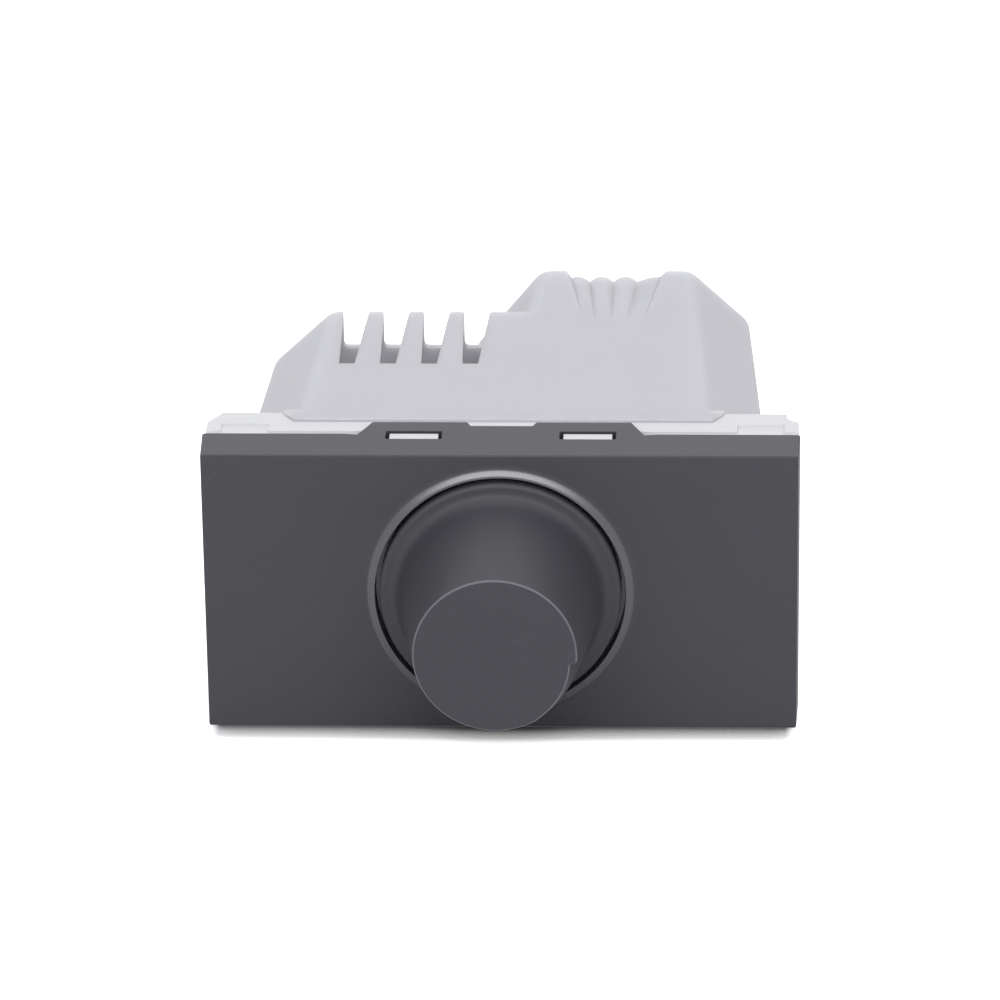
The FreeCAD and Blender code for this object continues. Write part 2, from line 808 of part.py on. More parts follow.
def make_pot_nut():
    rear = front_wall_front - washer_thickness
    front = rear - nut_thickness
    radius = nut_across_flats / 2 / math.cos(math.pi / 6)
    corners = [V(radius * math.cos(math.radians(60 * i)), front,
                 mid_z + radius * math.sin(math.radians(60 * i))) for i in range(7)]
    nut = Part.Face(Part.makePolygon(corners)).extrude(V(0, nut_thickness, 0))
    chamfer = Part.makeCone(radius + nut_bevel_spread, nut_across_flats / 2 - nut_bevel,
                            nut_bevel_height, V(0, rear, mid_z), V(0, -1, 0))
    nut = nut.common(chamfer)
    return nut.cut(rod_y(0, mid_z, bush_radius + shaft_gap, front - 1, rear + 1))


def make_pot_track():
    radius = can_radius - can_wall - can_gap
    disc = rod_y(0, mid_z, radius, track_front, track_front + track_thickness)
    foot = box(-pot_foot_half(), pot_foot_half(), track_front, track_front + track_thickness,
               mid_z - can_radius + can_gap, mid_z - pot_pin_drop + pot_foot_margin)
    plate = joined([disc, foot])
    holes = []
    for x in pot_pin_xs():
        holes.append(rod_y(x, pot_pin_z(), pot_pin_radius + shaft_gap, track_front - 1,
                           track_front + track_thickness + 1))
    return without(plate, holes)


def pot_pin_xs():
    return (-pot_pin_pitch, 0, pot_pin_pitch)


def pot_pin_z():
    return mid_z - pot_pin_drop


def pot_foot_half():
    return pot_pin_pitch + pot_foot_margin


def make_pot_pins():
    pins = []
    for x in pot_pin_xs():
        head = rod_y(x, pot_pin_z(), pot_pin_head_radius, track_front - pot_pin_head, track_front)
        pin = rod_y(x, pot_pin_z(), pot_pin_radius, track_front, board_rear + pot_pin_stub)
        pins.append(joined([head, pin]))
    return Part.makeCompound(pins)


def make_chassis():
    front = box(-chassis_front_half, chassis_front_half, cover_plate + can_gap, chassis_step_depth,
                mid_z - chassis_height / 2 + chassis_level_step, chassis_low_top)
    half = chassis_half_width
    inner = half - end_ramp_inset
    lug_front = skirt_depth + fit_gap
    outline = [(-half, lug_front), (half, lug_front), (half, end_step_start),
               (half - end_ramp_inset * end_step_share, (end_step_start + end_step_end) / 2),
               (inner, end_step_end), (inner, chassis_rear), (-inner, chassis_rear),
               (-inner, end_ramp_end), (-half, end_ramp_start)]
    rear = flat_plate(outline, chassis_bottom, chassis_top)
    low = [box(-end_pocket_inner, end_pocket_inner, skirt_depth, chassis_step_depth,
               chassis_low_top, chassis_top + 1)]
    low += left_and_right(box(end_pocket_outer, half + 1, skirt_depth, chassis_step_depth,
                              chassis_low_top, chassis_top + 1))
    low += left_and_right(box(end_pocket_inner, end_pocket_outer, skirt_depth, end_pocket_depth,
                              chassis_top - end_pocket_drop, chassis_top + 1))
    for step in low:
        rear = without(rear, over_and_under(step))
    body = joined([front, rear] + cover_clips())
    seat = fit_gap / 2
    recess = flat_plate(
        [(-tongue_half_front - seat, tongue_front - seat),
         (tongue_half_front + seat, tongue_front - seat),
         (tongue_half_rear + seat, tongue_slant_end - seat),
         (tongue_half_rear + seat, chassis_rear + 1),
         (-tongue_half_rear - seat, chassis_rear + 1),
         (-tongue_half_rear - seat, tongue_slant_end - seat)],
        case_top - tongue_thickness - seat, case_top + 1)
    rim = chassis_rim
    front_room = box(-chassis_front_half + rim, chassis_front_half - rim, 0, front_wall_front,
                     chassis_bottom + chassis_level_step + rim, chassis_low_top - rim)
    room = box(-cavity_half, cavity_half, chassis_front_wall_rear, chassis_rear + 1,
               mid_z - cavity_half_height, mid_z + cavity_half_height)
    ledge = box(-ledge_half, ledge_half, board_front, chassis_rear + 1,
                mid_z - ledge_half_height, mid_z + ledge_half_height)
    hole = rod_y(0, mid_z, bush_radius + shaft_gap, 0, chassis_front_wall_rear + 1)
    notch = box(half - snap_notch_depth, half + 1, snap_notch_front,
                snap_notch_front + snap_notch_length,
                mid_z - snap_notch_width / 2, mid_z + snap_notch_width / 2)
    tools = [front_room, room, ledge, hole] + over_and_under(recess)
    tools += left_and_right(notch) + hook_tools_and_arms()[0]
    return without(body, tools)


def cover_clips():
    """Hooks that stand in the cover's windows, with a lead-in slope in front."""
    top = module_height - clip_drop
    front = window_front + 2 * fit_gap
    rear = window_rear - fit_gap
    slope = (rear - front) / 3
    half = window_width / 2 - 2 * fit_gap
    corners = [V(window_centre - half, front, chassis_low_top - 1),
               V(window_centre - half, front, top - slope),
               V(window_centre - half, front + slope, top),
               V(window_centre - half, rear, top),
               V(window_centre - half, rear, chassis_low_top - 1)]
    clip = Part.Face(Part.makePolygon(corners + corners[:1])).extrude(V(2 * half, 0, 0))
    upright = [edge for edge in clip.Edges if edge.BoundBox.XLength + edge.BoundBox.YLength < 0.01]
    clip = clip.makeFillet(clip_corner, upright)
    clips = []
    for side in left_and_right(clip):
        clips += over_and_under(side)
    return clips


def lead_places():
    """Where component leads pass through the board, as (x, z, radius)."""
    places = [(x, pot_pin_z(), pot_pin_radius) for x in pot_pin_xs()]
    places += [(x, z, lead_radius) for x, z in triac_leads() + choke_leads() + mains_cap_leads()
               + timing_cap_leads() + fuse_leads() + resistor_leads() + diac_leads()]
    places += [(x, bar_z + bar_thickness / 2, bar_thickness / 2 + can_gap) for x in terminal_xs]
    return places


def make_circuit_board():
    board = box(-board_half, board_half, board_front, board_rear,
                mid_z - board_half_height, mid_z + board_half_height)
    notch = box(hook_x - hook_arm - fit_gap, board_half + 1, board_front - 1, board_rear + 1,
                mid_z - hook_half_height - 2 * fit_gap, mid_z + hook_half_height + 2 * fit_gap)
    holes = [rod_y(x, z, radius + lead_hole_gap, board_front - 1, board_rear + 1)
             for x, z, radius in lead_places()]
    return without(board, left_and_right(notch) + holes)


def leads(places, rear):
    return [rod_y(x, z, lead_radius, board_front - lead_stub, rear) for x, z in places]


def triac_leads():
    x = triac_outer_x + triac_thickness / 2
    return [(x, mid_z + i * triac_lead_pitch) for i in (-1, 0, 1)]


def make_triac():
    front = board_rear + triac_stand
    body_rear = front + triac_body_length
    low = mid_z - triac_width / 2
    high = mid_z + triac_width / 2
    body = box(triac_outer_x, triac_outer_x + triac_thickness, front, body_rear, low, high)
    edges = [edge for edge in body.Edges
             if abs(edge.CenterOfMass.x - triac_outer_x - triac_thickness) < 0.01]
    body = body.makeChamfer(triac_bevel, edges)
    tab = box(triac_outer_x, triac_outer_x + triac_tab_thickness, body_rear - 1,
              body_rear + triac_tab_length, low, high)
    hole = rod_x(triac_screw_y(), mid_z, triac_hole_radius, triac_outer_x - 1, triac_outer_x + 3)
    return joined([body, tab] + leads(triac_leads(), front + 0.5)).cut(hole)


def triac_screw_y():
    return board_rear + triac_stand + triac_body_length + triac_hole_offset


def make_heat_sink():
    outer = triac_outer_x - shaft_gap - sink_thickness
    inner = triac_outer_x - shaft_gap
    low = mid_z - sink_height / 2
    high = mid_z + sink_height / 2
    plate = box(outer, inner, sink_front, sink_rear, low, high)
    foot = box(outer, inner + sink_foot, sink_rear - sink_thickness, sink_rear, low, high)
    bracket = joined([plate, foot])
    bend = [edge for edge in bracket.Edges
            if edge.Length > sink_height - 0.01 and abs(edge.CenterOfMass.x - outer) < 0.01
            and abs(edge.CenterOfMass.y - sink_rear) < 0.01]
    bracket = bracket.makeFillet(sink_bend, bend)
    return bracket.cut(rod_x(triac_screw_y(), mid_z, screw_radius + shaft_gap, outer - 1, inner + 1))


def make_triac_screw():
    seat = triac_outer_x + triac_tab_thickness
    tip = triac_outer_x - shaft_gap - sink_thickness - screw_tip
    y = triac_screw_y()
    shank = rod_x(y, mid_z, screw_radius, tip, seat)
    head = rod_x(y, mid_z, screw_head_radius, seat, seat + screw_head_height)
    rim = [edge for edge in head.Edges if abs(edge.CenterOfMass.x - seat - screw_head_height) < 0.01]
    head = head.makeFillet(screw_head_round, rim)
    slot = box(seat + screw_head_height - screw_slot_depth, seat + screw_head_height + 1,
               y - screw_head_radius, y + screw_head_radius,
               mid_z - screw_slot_width / 2, mid_z + screw_slot_width / 2)
    return joined([shank, head]).cut(slot)


def choke_leads():
    reach = (choke_winding_radius + choke_rod_radius) / 2 + 1
    spots = []
    for degrees in (choke_lead_angle, 180 - choke_lead_angle):
        angle = math.radians(degrees)
        spots.append((choke_x + reach * math.cos(angle), mid_z + reach * math.sin(angle)))
    return spots


def make_choke_core():
    front = board_rear + component_stand
    rear = front + choke_length
    core = rod_y(choke_x, mid_z, choke_rod_radius, front, rear)
    ends = [rod_y(choke_x, mid_z, choke_radius, front, front + choke_flange),
            rod_y(choke_x, mid_z, choke_radius, rear - choke_flange, rear)]
    drum = joined([core] + ends)
    holes = [rod_y(x, z, lead_radius + lead_hole_gap, front - 1, front + choke_flange + 1)
             for x, z in choke_leads()]
    return without(drum, holes)


def make_choke_winding():
    front = board_rear + component_stand + choke_flange + choke_winding_gap
    rear = board_rear + component_stand + choke_length - choke_flange - choke_winding_gap
    coil = rod_y(choke_x, mid_z, choke_winding_radius, front, rear)
    coil = coil.cut(rod_y(choke_x, mid_z, choke_rod_radius + choke_winding_gap, front - 1, rear + 1))
    return joined([coil] + leads(choke_leads(), front + 1))


def standing_box(x, z, width, height, depth):
    front = board_rear + component_stand
    body = box(x - width / 2, x + width / 2, front, front + depth, z - height / 2, z + height / 2)
    upright = [edge for edge in body.Edges if abs(edge.Length - depth) < 0.01]
    return body.makeFillet(component_corner, upright)


def mains_cap_leads():
    reach = mains_cap_lead_pitch / 2
    return [(mains_cap_x, mid_z - reach), (mains_cap_x, mid_z + reach)]


def make_suppression_capacitor():
    body = standing_box(mains_cap_x, mid_z, mains_cap_width, mains_cap_height, mains_cap_depth)
    return joined([body] + leads(mains_cap_leads(), board_rear + 1))


def timing_cap_leads():
    reach = timing_cap_lead_pitch / 2
    return [(timing_cap_x - reach, timing_cap_z), (timing_cap_x + reach, timing_cap_z)]


def make_timing_capacitor():
    body = standing_box(timing_cap_x, timing_cap_z, timing_cap_width, timing_cap_height,
                        timing_cap_depth)
    return joined([body] + leads(timing_cap_leads(), board_rear + 1))


def fuse_leads():
    return [(fuse_x - fuse_lead_pitch / 2, fuse_z), (fuse_x + fuse_lead_pitch / 2, fuse_z)]


def make_fuse():
    front = board_rear + component_stand
    body = rod_y(fuse_x, fuse_z, fuse_radius, front, front + fuse_length)
    rim = [edge for edge in body.Edges if abs(edge.CenterOfMass.y - front - fuse_length) < 0.01]
    body = body.makeFillet(fuse_round, rim)
    return joined([body] + leads(fuse_leads(), front + 1))


def lying_part(x, z, radius, length, pitch):
    """Axial component along Z over the board, with two bent-down leads."""
    y = board_rear + component_stand + radius
    body = rod_z(x, y, radius, z - length / 2, z + length / 2)
    wire = rod_z(x, y, lead_radius, z - pitch / 2, z + pitch / 2)
    legs = [rod_y(x, z + end * pitch / 2, lead_radius, board_front - lead_stub, y) for end in (-1, 1)]
    corners = [Part.makeSphere(lead_radius, V(x, y, z + end * pitch / 2)) for end in (-1, 1)]
    return joined([body, wire] + legs + corners)


def resistor_leads():
    places = []
    reach = resistor_lead_pitch / 2
    for z in (mid_z - resistor_offset, mid_z + resistor_offset):
        places += [(resistor_x, z - reach), (resistor_x, z + reach)]
    return places


def make_resistors():
    return Part.makeCompound([lying_part(resistor_x, mid_z + side * resistor_offset, resistor_radius,
                                         resistor_length, resistor_lead_pitch) for side in (-1, 1)])


def diac_leads():
    return [(diac_x, diac_z - diac_lead_pitch / 2), (diac_x, diac_z + diac_lead_pitch / 2)]


def make_diac():
    return lying_part(diac_x, diac_z, diac_radius, diac_length, diac_lead_pitch)


def make_terminal_carrier():
    front = carrier_front
    rear = carrier_rear
    low = bar_z - carrier_below_bar
    high = bar_z + carrier_above_bar
    inner = cage_half_width + carrier_gap
    left = terminal_xs[0] - inner - carrier_wall
    right = terminal_xs[1] + inner + carrier_wall
    wall = box(left, right, front, front + carrier_front_wall, low, high)
    cheeks = [box(left, left + carrier_wall, front, rear, low, high),
              box(right - carrier_wall, right, front, rear, low, high),
              box(terminal_x - carrier_wall / 2, terminal_x + carrier_wall / 2, front, rear, low, high)]
    ledge = box(left, right, rear - carrier_wall, rear, bar_z - carrier_ledge, bar_z - can_gap)
    carrier = joined([wall, ledge] + cheeks)
    slots = [box(x - bar_half_width - can_gap, x + bar_half_width + can_gap, front - 1,
                 front + carrier_front_wall + 1, bar_z - can_gap, bar_z + bar_thickness + can_gap)
             for x in terminal_xs]
    return without(carrier, slots)


def make_terminal_bar(x):
    rear = tower_rear - tower_rear_wall - 2 * carrier_gap
    bar = box(x - bar_half_width, x + bar_half_width, strap_rear, rear, bar_z,
              bar_z + bar_thickness)
    strap = box(x - strap_half_width, x + strap_half_width, board_rear + component_stand, strap_rear, bar_z,
                bar_z + bar_thickness)
    tail = rod_y(x, bar_z + bar_thickness / 2, bar_thickness / 2, board_front - lead_stub,
                 board_rear + 1)
    return joined([bar, strap, tail])


def make_terminal_cage(x):
    front = terminal_y - cage_depth / 2
    rear = terminal_y + cage_depth / 2
    outside = box(x - cage_half_width, x + cage_half_width, front, rear, cage_bottom,
                  cage_bottom + cage_height)
    inner = cage_half_width - cage_side
    inside = box(x - inner, x + inner, front - 1, rear + 1, cage_floor,
                 cage_floor + cage_inner_height)
    edges = [edge for edge in outside.Edges if abs(edge.Length - cage_depth) < 0.01]
    outside = outside.makeFillet(cage_corner, edges)
    thread = rod_z(x, terminal_y, clamp_screw_radius + shaft_gap, cage_bottom - 1, cage_floor + 1)
    return without(outside, [inside, thread])


def make_clamp_screw(x):
    head_bottom = clamp_head_top - clamp_head_height
    shank = rod_z(x, terminal_y, clamp_screw_radius, clamp_head_top, bar_z - shaft_gap)
    head = rod_z(x, terminal_y, clamp_head_radius, head_bottom, clamp_head_top)
    rim = [edge for edge in head.Edges if abs(edge.CenterOfMass.z - head_bottom) < 0.01]
    head = head.makeFillet(clamp_head_round, rim)
    slot = box(x - screw_slot_width / 2, x + screw_slot_width / 2,
               terminal_y - clamp_head_radius, terminal_y + clamp_head_radius,
               head_bottom - 1, head_bottom + screw_slot_depth)
    return joined([shank, head]).cut(slot)


def write(name, shape):
    shape = shape.copy()
    shape.translate(V(0, -part_middle_y, 0))
    shape.exportStep(os.path.join(OUT, name + ".step"))
    volume = sum(solid.Volume for solid in shape.Solids)
    print(f"{name:24s} solids {len(shape.Solids)}  volume {volume:9.2f}  valid {shape.isValid()}")


def main():
    knob_pieces = {"knob": make_knob(), "knob_clip": make_knob_clip(), "pot_shaft": make_pot_shaft(),
                   "pot_wiper": make_pot_wiper()}
    fixed = {
        "front_cover": make_front_cover(), "chassis": make_chassis(),
        "rear_housing": make_rear_housing(), "pot_body": make_pot_body(),
        "pot_bush": make_pot_bush(), "pot_washer": make_pot_washer(), "pot_nut": make_pot_nut(),
        "pot_track": make_pot_track(), "pot_pins": make_pot_pins(),
        "circuit_board": make_circuit_board(), "triac": make_triac(),
        "heat_sink": make_heat_sink(), "triac_screw": make_triac_screw(),
        "choke_core": make_choke_core(), "choke_winding": make_choke_winding(),
        "suppression_capacitor": make_suppression_capacitor(),
        "timing_capacitor": make_timing_capacitor(), "fuse": make_fuse(),
        "resistors": make_resistors(), "diac": make_diac(),
        "terminal_carrier": make_terminal_carrier(),
    }
    for name, shape in list(knob_pieces.items()) + list(fixed.items()):
        write(name, shape)
    for side, x in zip(("left", "right"), terminal_xs):
        write("terminal_bar_" + side, make_terminal_bar(x))
        write("terminal_cage_" + side, make_terminal_cage(x))
        write("clamp_screw_" + side, make_clamp_screw(x))


main()
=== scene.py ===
import bmesh
import bpy
import math
from bpy.props import FloatProperty, FloatVectorProperty, IntProperty, PointerProperty
from mathutils import Matrix, Vector


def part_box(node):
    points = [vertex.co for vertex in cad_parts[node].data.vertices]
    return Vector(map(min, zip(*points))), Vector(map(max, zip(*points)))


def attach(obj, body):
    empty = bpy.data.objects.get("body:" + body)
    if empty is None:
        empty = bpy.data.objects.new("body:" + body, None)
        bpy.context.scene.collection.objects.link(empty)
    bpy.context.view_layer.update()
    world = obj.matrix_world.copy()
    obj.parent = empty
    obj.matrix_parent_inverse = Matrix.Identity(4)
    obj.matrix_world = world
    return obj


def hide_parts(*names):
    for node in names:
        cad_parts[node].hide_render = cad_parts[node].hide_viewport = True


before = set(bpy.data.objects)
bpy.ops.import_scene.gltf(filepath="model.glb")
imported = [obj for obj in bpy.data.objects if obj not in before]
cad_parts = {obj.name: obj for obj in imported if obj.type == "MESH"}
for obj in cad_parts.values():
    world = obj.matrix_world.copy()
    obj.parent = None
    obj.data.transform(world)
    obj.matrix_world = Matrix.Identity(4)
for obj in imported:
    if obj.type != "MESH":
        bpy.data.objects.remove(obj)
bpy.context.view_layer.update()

bl_info = {
    "name": "Rotary dimmer module",
    "version": (1, 0, 0),
    "blender": (4, 5, 0),
    "location": "View3D > Sidebar > Dimmer",
    "description": "Builds a snap-in rotary dimmer with its knob, housing and terminals",
    "category": "Object",
}

# Lengths inside the mesh functions are millimetres from the middle of the cover's
# face: X to the right, Y to the rear, Z up from the module's lower edge.
MM = 0.001
RING_HEIGHT = 0.35
FLARE = 0.18
FACE_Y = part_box("front_cover")[0].y / MM + RING_HEIGHT
WIDTH = (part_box("front_cover")[1].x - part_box("front_cover")[0].x) / MM - 2 * FLARE
HEIGHT = (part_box("front_cover")[1].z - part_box("front_cover")[0].z) / MM
MID_Z = HEIGHT / 2


def near(node, side, axis):
    """A side of a CAD node's box, in millimetres from the cover's face."""
    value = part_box(node)[side][axis] / MM
    return value - FACE_Y if axis == 1 else value


def middle(node, axis):
    """Middle of a CAD node's box along one axis."""
    return (near(node, 0, axis) + near(node, 1, axis)) / 2


def length(name, description, default):
    return FloatProperty(name=name, description=description, default=default * MM,
                         subtype="DISTANCE", unit="LENGTH", precision=5)


def colour(name, description, default):
    return FloatVectorProperty(name=name, description=description, default=default,
                               subtype="COLOR", size=3, min=0.0, max=1.0)


class DimmerCoverSizes(bpy.types.PropertyGroup):
    skirt: length("Skirt depth", "Depth of the cover's walls", 4.24)
    plate: length("Plate", "Thickness of the face plate", 1.3)
    wall: length("Wall", "Thickness of the cover's walls", 1.0)
    edge: length("Front edge", "Rounding of the face's outer edge", 0.12)
    hole: length("Hole radius", "Radius of the knob's hole", 9.5)
    ring: length("Ring radius", "Outer radius of the raised ring", 10.35)
    tab: length("Tab depth", "Distance from the face to the tabs' rear edge", 6.83)


class DimmerKnobSizes(bpy.types.PropertyGroup):
    reach: length("Reach", "Distance from the cover's face to the knob's front", 11.6)
    disc: length("Disc radius", "Radius of the knob's front", 6.12)
    neck: length("Neck radius", "Radius where the straight neck ends", 7.45)
    skirt: length("Skirt radius", "Radius of the skirt inside the ring", 9.17)
    wall: length("Wall", "Thickness of the knob's wall", 1.25)
    notch: length("Pointer step", "Height of the pointer's step at the front", 0.53)


class DimmerHousingSizes(bpy.types.PropertyGroup):
    wall: length("Wall", "Thickness of the housing's walls", 1.2)
    corner: length("Corner rounding", "Rounding of the long slanted corners", 1.8)
    edge: length("Edge softness", "Rounding of the moulded edges", 0.2)
    slots: IntProperty(name="Slots", description="Number of vent slots", default=4, min=1)
    flutes: IntProperty(name="Flutes", description="Number of grip flutes", default=4, min=2)


class DimmerColours(bpy.types.PropertyGroup):
    cover: colour("Cover", "Dark plastic of the cover and the knob", (0.045, 0.044, 0.052))
    housing: colour("Housing", "Light grey plastic of the rear housing", (0.50, 0.50, 0.53))
    chassis: colour("Chassis", "Pale plastic of the chassis", (0.65, 0.65, 0.66))
    brass: colour("Brass", "Contact bars and bush", (0.62, 0.43, 0.17))
    copper: colour("Copper", "Lacquered winding wire", (0.60, 0.20, 0.07))
    floor: colour("Floor", "Plain pale floor", (0.93, 0.93, 0.93))


def rotation(name, description, degrees):
    return FloatProperty(name=name, description=description, default=math.radians(degrees),
                         subtype="ANGLE", unit="ROTATION")


def power(name, description, watts):
    return FloatProperty(name=name, description=description, default=watts, unit="POWER")


class DimmerStage(bpy.types.PropertyGroup):
    focal: FloatProperty(name="Lens", description="Focal length on a 36 mm sensor",
                         default=205.715, unit="CAMERA")
    distance: length("Distance", "From the camera to its target", 430.36)
    elevation: rotation("Elevation", "Camera above the horizon", 23.088)
    azimuth: rotation("Azimuth", "Camera to the right of the axis", 2.454)
    roll: rotation("Roll", "Turn about the line of sight", -0.767)
    strip_power: power("Strip light", "Power of the wide front strip", 2.7)
    top_power: power("Top light", "Power of the large top light", 3.6)
    back_power: power("Back light", "Power of the upright rear panel", 1.8)


def size(group, name):
    """A size from the scene's settings, in millimetres."""
    return getattr(getattr(bpy.context.scene, "dimmer_" + group), name) / MM


def sizes(group, names):
    return [size(group, name) for name in names.split()]


# Mesh helpers

def loft(rings, closed=False):
    """Skin over rings of equally many points; ends are capped unless closed."""
    bm = bmesh.new()
    rows = [[bm.verts.new(point) for point in ring] for ring in rings]
    count = len(rings[0])
    pairs = list(zip(rows, rows[1:]))
    if closed:
        pairs.append((rows[-1], rows[0]))
    for near_row, far_row in pairs:
        for i in range(count):
            j = (i + 1) % count
            bm.faces.new((near_row[i], near_row[j], far_row[j], far_row[i]))
    if not closed:
        bm.faces.new(rows[0])
        bm.faces.new(reversed(rows[-1]))
    bmesh.ops.recalc_face_normals(bm, faces=bm.faces)
    return bm


def plate_z(outline, z0, z1):
    return loft([[(x, y, z) for x, y in outline] for z in (z0, z1)])


def plate_x(outline, x0, x1):
    return loft([[(x, y, z) for y, z in outline] for x in (x0, x1)])


def block(x0, x1, y0, y1, z0, z1):
    return plate_z([(x0, y0), (x1, y0), (x1, y1), (x0, y1)], z0, z1)


def circle(radius, count):
    step = 2 * math.pi / count
    return [(radius * math.cos(i * step), radius * math.sin(i * step)) for i in range(count)]


def quarter(steps, first=0):
    """Cosine and sine at even steps of a quarter turn."""
    turns = [math.pi / 2 * k / steps for k in range(first, steps + 1)]
    return [(math.cos(turn), math.sin(turn)) for turn in turns]


def rod_y(x, z, stations, count=96):
    """Round bar along Y through (y, radius) stations."""
    return loft([[(x + a, y, z + b) for a, b in circle(radius, count)] for y, radius in stations])


def rod_z(x, y, stations, count=96):
    return loft([[(x + a, y + b, z) for a, b in circle(radius, count)] for z, radius in stations])


def with_twin(bm, axis, total):
    """The mesh and its mirror image, whose places along an axis add up to a total."""
    twin = bm.copy()
    for vert in twin.verts:
        vert.co[axis] = total - vert.co[axis]
    bmesh.ops.reverse_faces(twin, faces=twin.faces)
    return [bm, twin]


def above_and_below(bm):
    return with_twin(bm, 2, HEIGHT)


def both_sides(bm):
    return with_twin(bm, 0, 0.0)


def all_four(bm):
    return [piece for half in both_sides(bm) for piece in above_and_below(half)]


def gather(meshes):
    """One mesh from several closed ones."""
    whole = bmesh.new()
    for bm in meshes:
        part = bpy.data.meshes.new("part")
        bm.to_mesh(part)
        bm.free()
        whole.from_mesh(part)
        bpy.data.meshes.remove(part)
    return whole


def chain(points):
    """Points joined in a row by edges."""
    bm = bmesh.new()
    verts = [bm.verts.new(point) for point in points]
    for first, second in zip(verts, verts[1:]):
        bm.edges.new((first, second))
    return bm


def link(name, bm):
    mesh = bpy.data.meshes.new(name)
    bm.to_mesh(mesh)
    bm.free()
    obj = bpy.data.objects.new(name, mesh)
    bpy.context.scene.collection.objects.link(obj)
    return obj


def baked(obj):
    """Replaces the object's mesh with its evaluated one and drops the modifiers."""
    graph = bpy.context.evaluated_depsgraph_get()
    mesh = bpy.data.meshes.new_from_object(obj.evaluated_get(graph),
                                           preserve_all_data_layers=True, depsgraph=graph)
    old = obj.data
    if not mesh.polygons:
        raise RuntimeError(obj.name + " has come out empty")
    obj.modifiers.clear()
    obj.data = mesh
    mesh.name = obj.name
    if old.users == 0:
        bpy.data.meshes.remove(old)
    return obj


def combine(obj, meshes, operation):
    """Boolean of an object with closed meshes."""
    tool = link("tool", gather(meshes))
    modifier = obj.modifiers.new("Boolean", "BOOLEAN")
    modifier.operation = operation
    modifier.solver = "EXACT"
    modifier.use_self = True
    modifier.object = tool
    baked(obj)
    bpy.data.objects.remove(tool)


def join(obj, meshes):
    """Adds closed meshes to an object."""
    combine(obj, meshes, "UNION")


def cut(obj, meshes):
    """Takes closed meshes away from an object."""
    combine(obj, meshes, "DIFFERENCE")


def rounded(corners, steps):
    """Closed outline with round corners, from (a, b, radius) corners."""
    points = []
    count = len(corners)
    for i in range(count):
        a, b, radius = corners[i]
        here = Vector((a, b))
        before = (Vector(corners[i - 1][:2]) - here).normalized()
        after = (Vector(corners[(i + 1) % count][:2]) - here).normalized()
        half = before.angle(after) / 2
        centre = here + (before + after).normalized() * (radius / math.sin(half))
        start = here + before * (radius / math.tan(half)) - centre
        turn = start.angle_signed(here + after * (radius / math.tan(half)) - centre)
        for k in range(steps + 1):
            arm = start.copy()
            arm.rotate(Matrix.Rotation(-turn * k / steps, 2))
            points.append(tuple(centre + arm))
    return points


def soften(obj, width, angle=30.0, segments=2):
    """Small rounding on every edge sharper than the angle."""
    bevel = obj.modifiers.new("Bevel", "BEVEL")
    bevel.width = width
    bevel.segments = segments
    bevel.limit_method = "ANGLE"
    bevel.angle_limit = math.radians(angle)
    bevel.harden_normals = False
    bevel.use_clamp_overlap = True
    return baked(obj)


def settle(obj, smooth_angle):
    """Moves a mesh from face millimetres to the row's metres and shades it."""
    bm = bmesh.new()
    bm.from_mesh(obj.data)
    bmesh.ops.remove_doubles(bm, verts=bm.verts, dist=0.0005)
    bmesh.ops.dissolve_degenerate(bm, edges=bm.edges, dist=0.0005)
    bm.to_mesh(obj.data)
    bm.free()
    obj.data.transform(Matrix.Translation((0, FACE_Y * MM, 0)) @ Matrix.Scale(MM, 4))
    obj.data.shade_smooth()
    obj.data.set_sharp_from_angle(angle=math.radians(smooth_angle))
    weighted = obj.modifiers.new("Weighted normals", "WEIGHTED_NORMAL")
    weighted.keep_sharp = True
    weighted.weight = 60
    return baked(obj)


def finish_piece(obj, body, slot, material, *nodes, smooth_angle=40.0):
    """Settles a piece, gives it its material, hangs it under its body and hides the CAD nodes it
    stands for; the slot argument is not used.
    """
    settle(obj, smooth_angle)
    obj.data.materials.clear()
    obj.data.materials.append(material)
    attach(obj, body)
    if nodes:
        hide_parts(*nodes)


# Node trees and materials

GLOW_DEPTH = 0.004
DUST_COLOUR = (0.55, 0.55, 0.56)
# Painted highlight: the pale colour painted on a rim band, in place of the light that a rounded
# edge catches.
PAINTED_HIGHLIGHT_COLOUR = (0.14, 0.135, 0.155)
TIN_COLOUR = (0.62, 0.62, 0.60)
# Painted highlight band: where it starts and ends behind a Y place, and how softly it fades in and
# out, in metres.
RIM_HIGHLIGHT_START, RIM_HIGHLIGHT_FADE_IN, RIM_HIGHLIGHT_END, RIM_HIGHLIGHT_FADE_OUT = 0.000004, 0.000016, 0.0001, 0.00006
POLISH_FADE = 0.00006
GLOSS_SPREAD = 0.02
LEAD_FADE = 0.00002
STRIPE_WIDTH = 0.00045
STRIPE_FADE = 0.00003


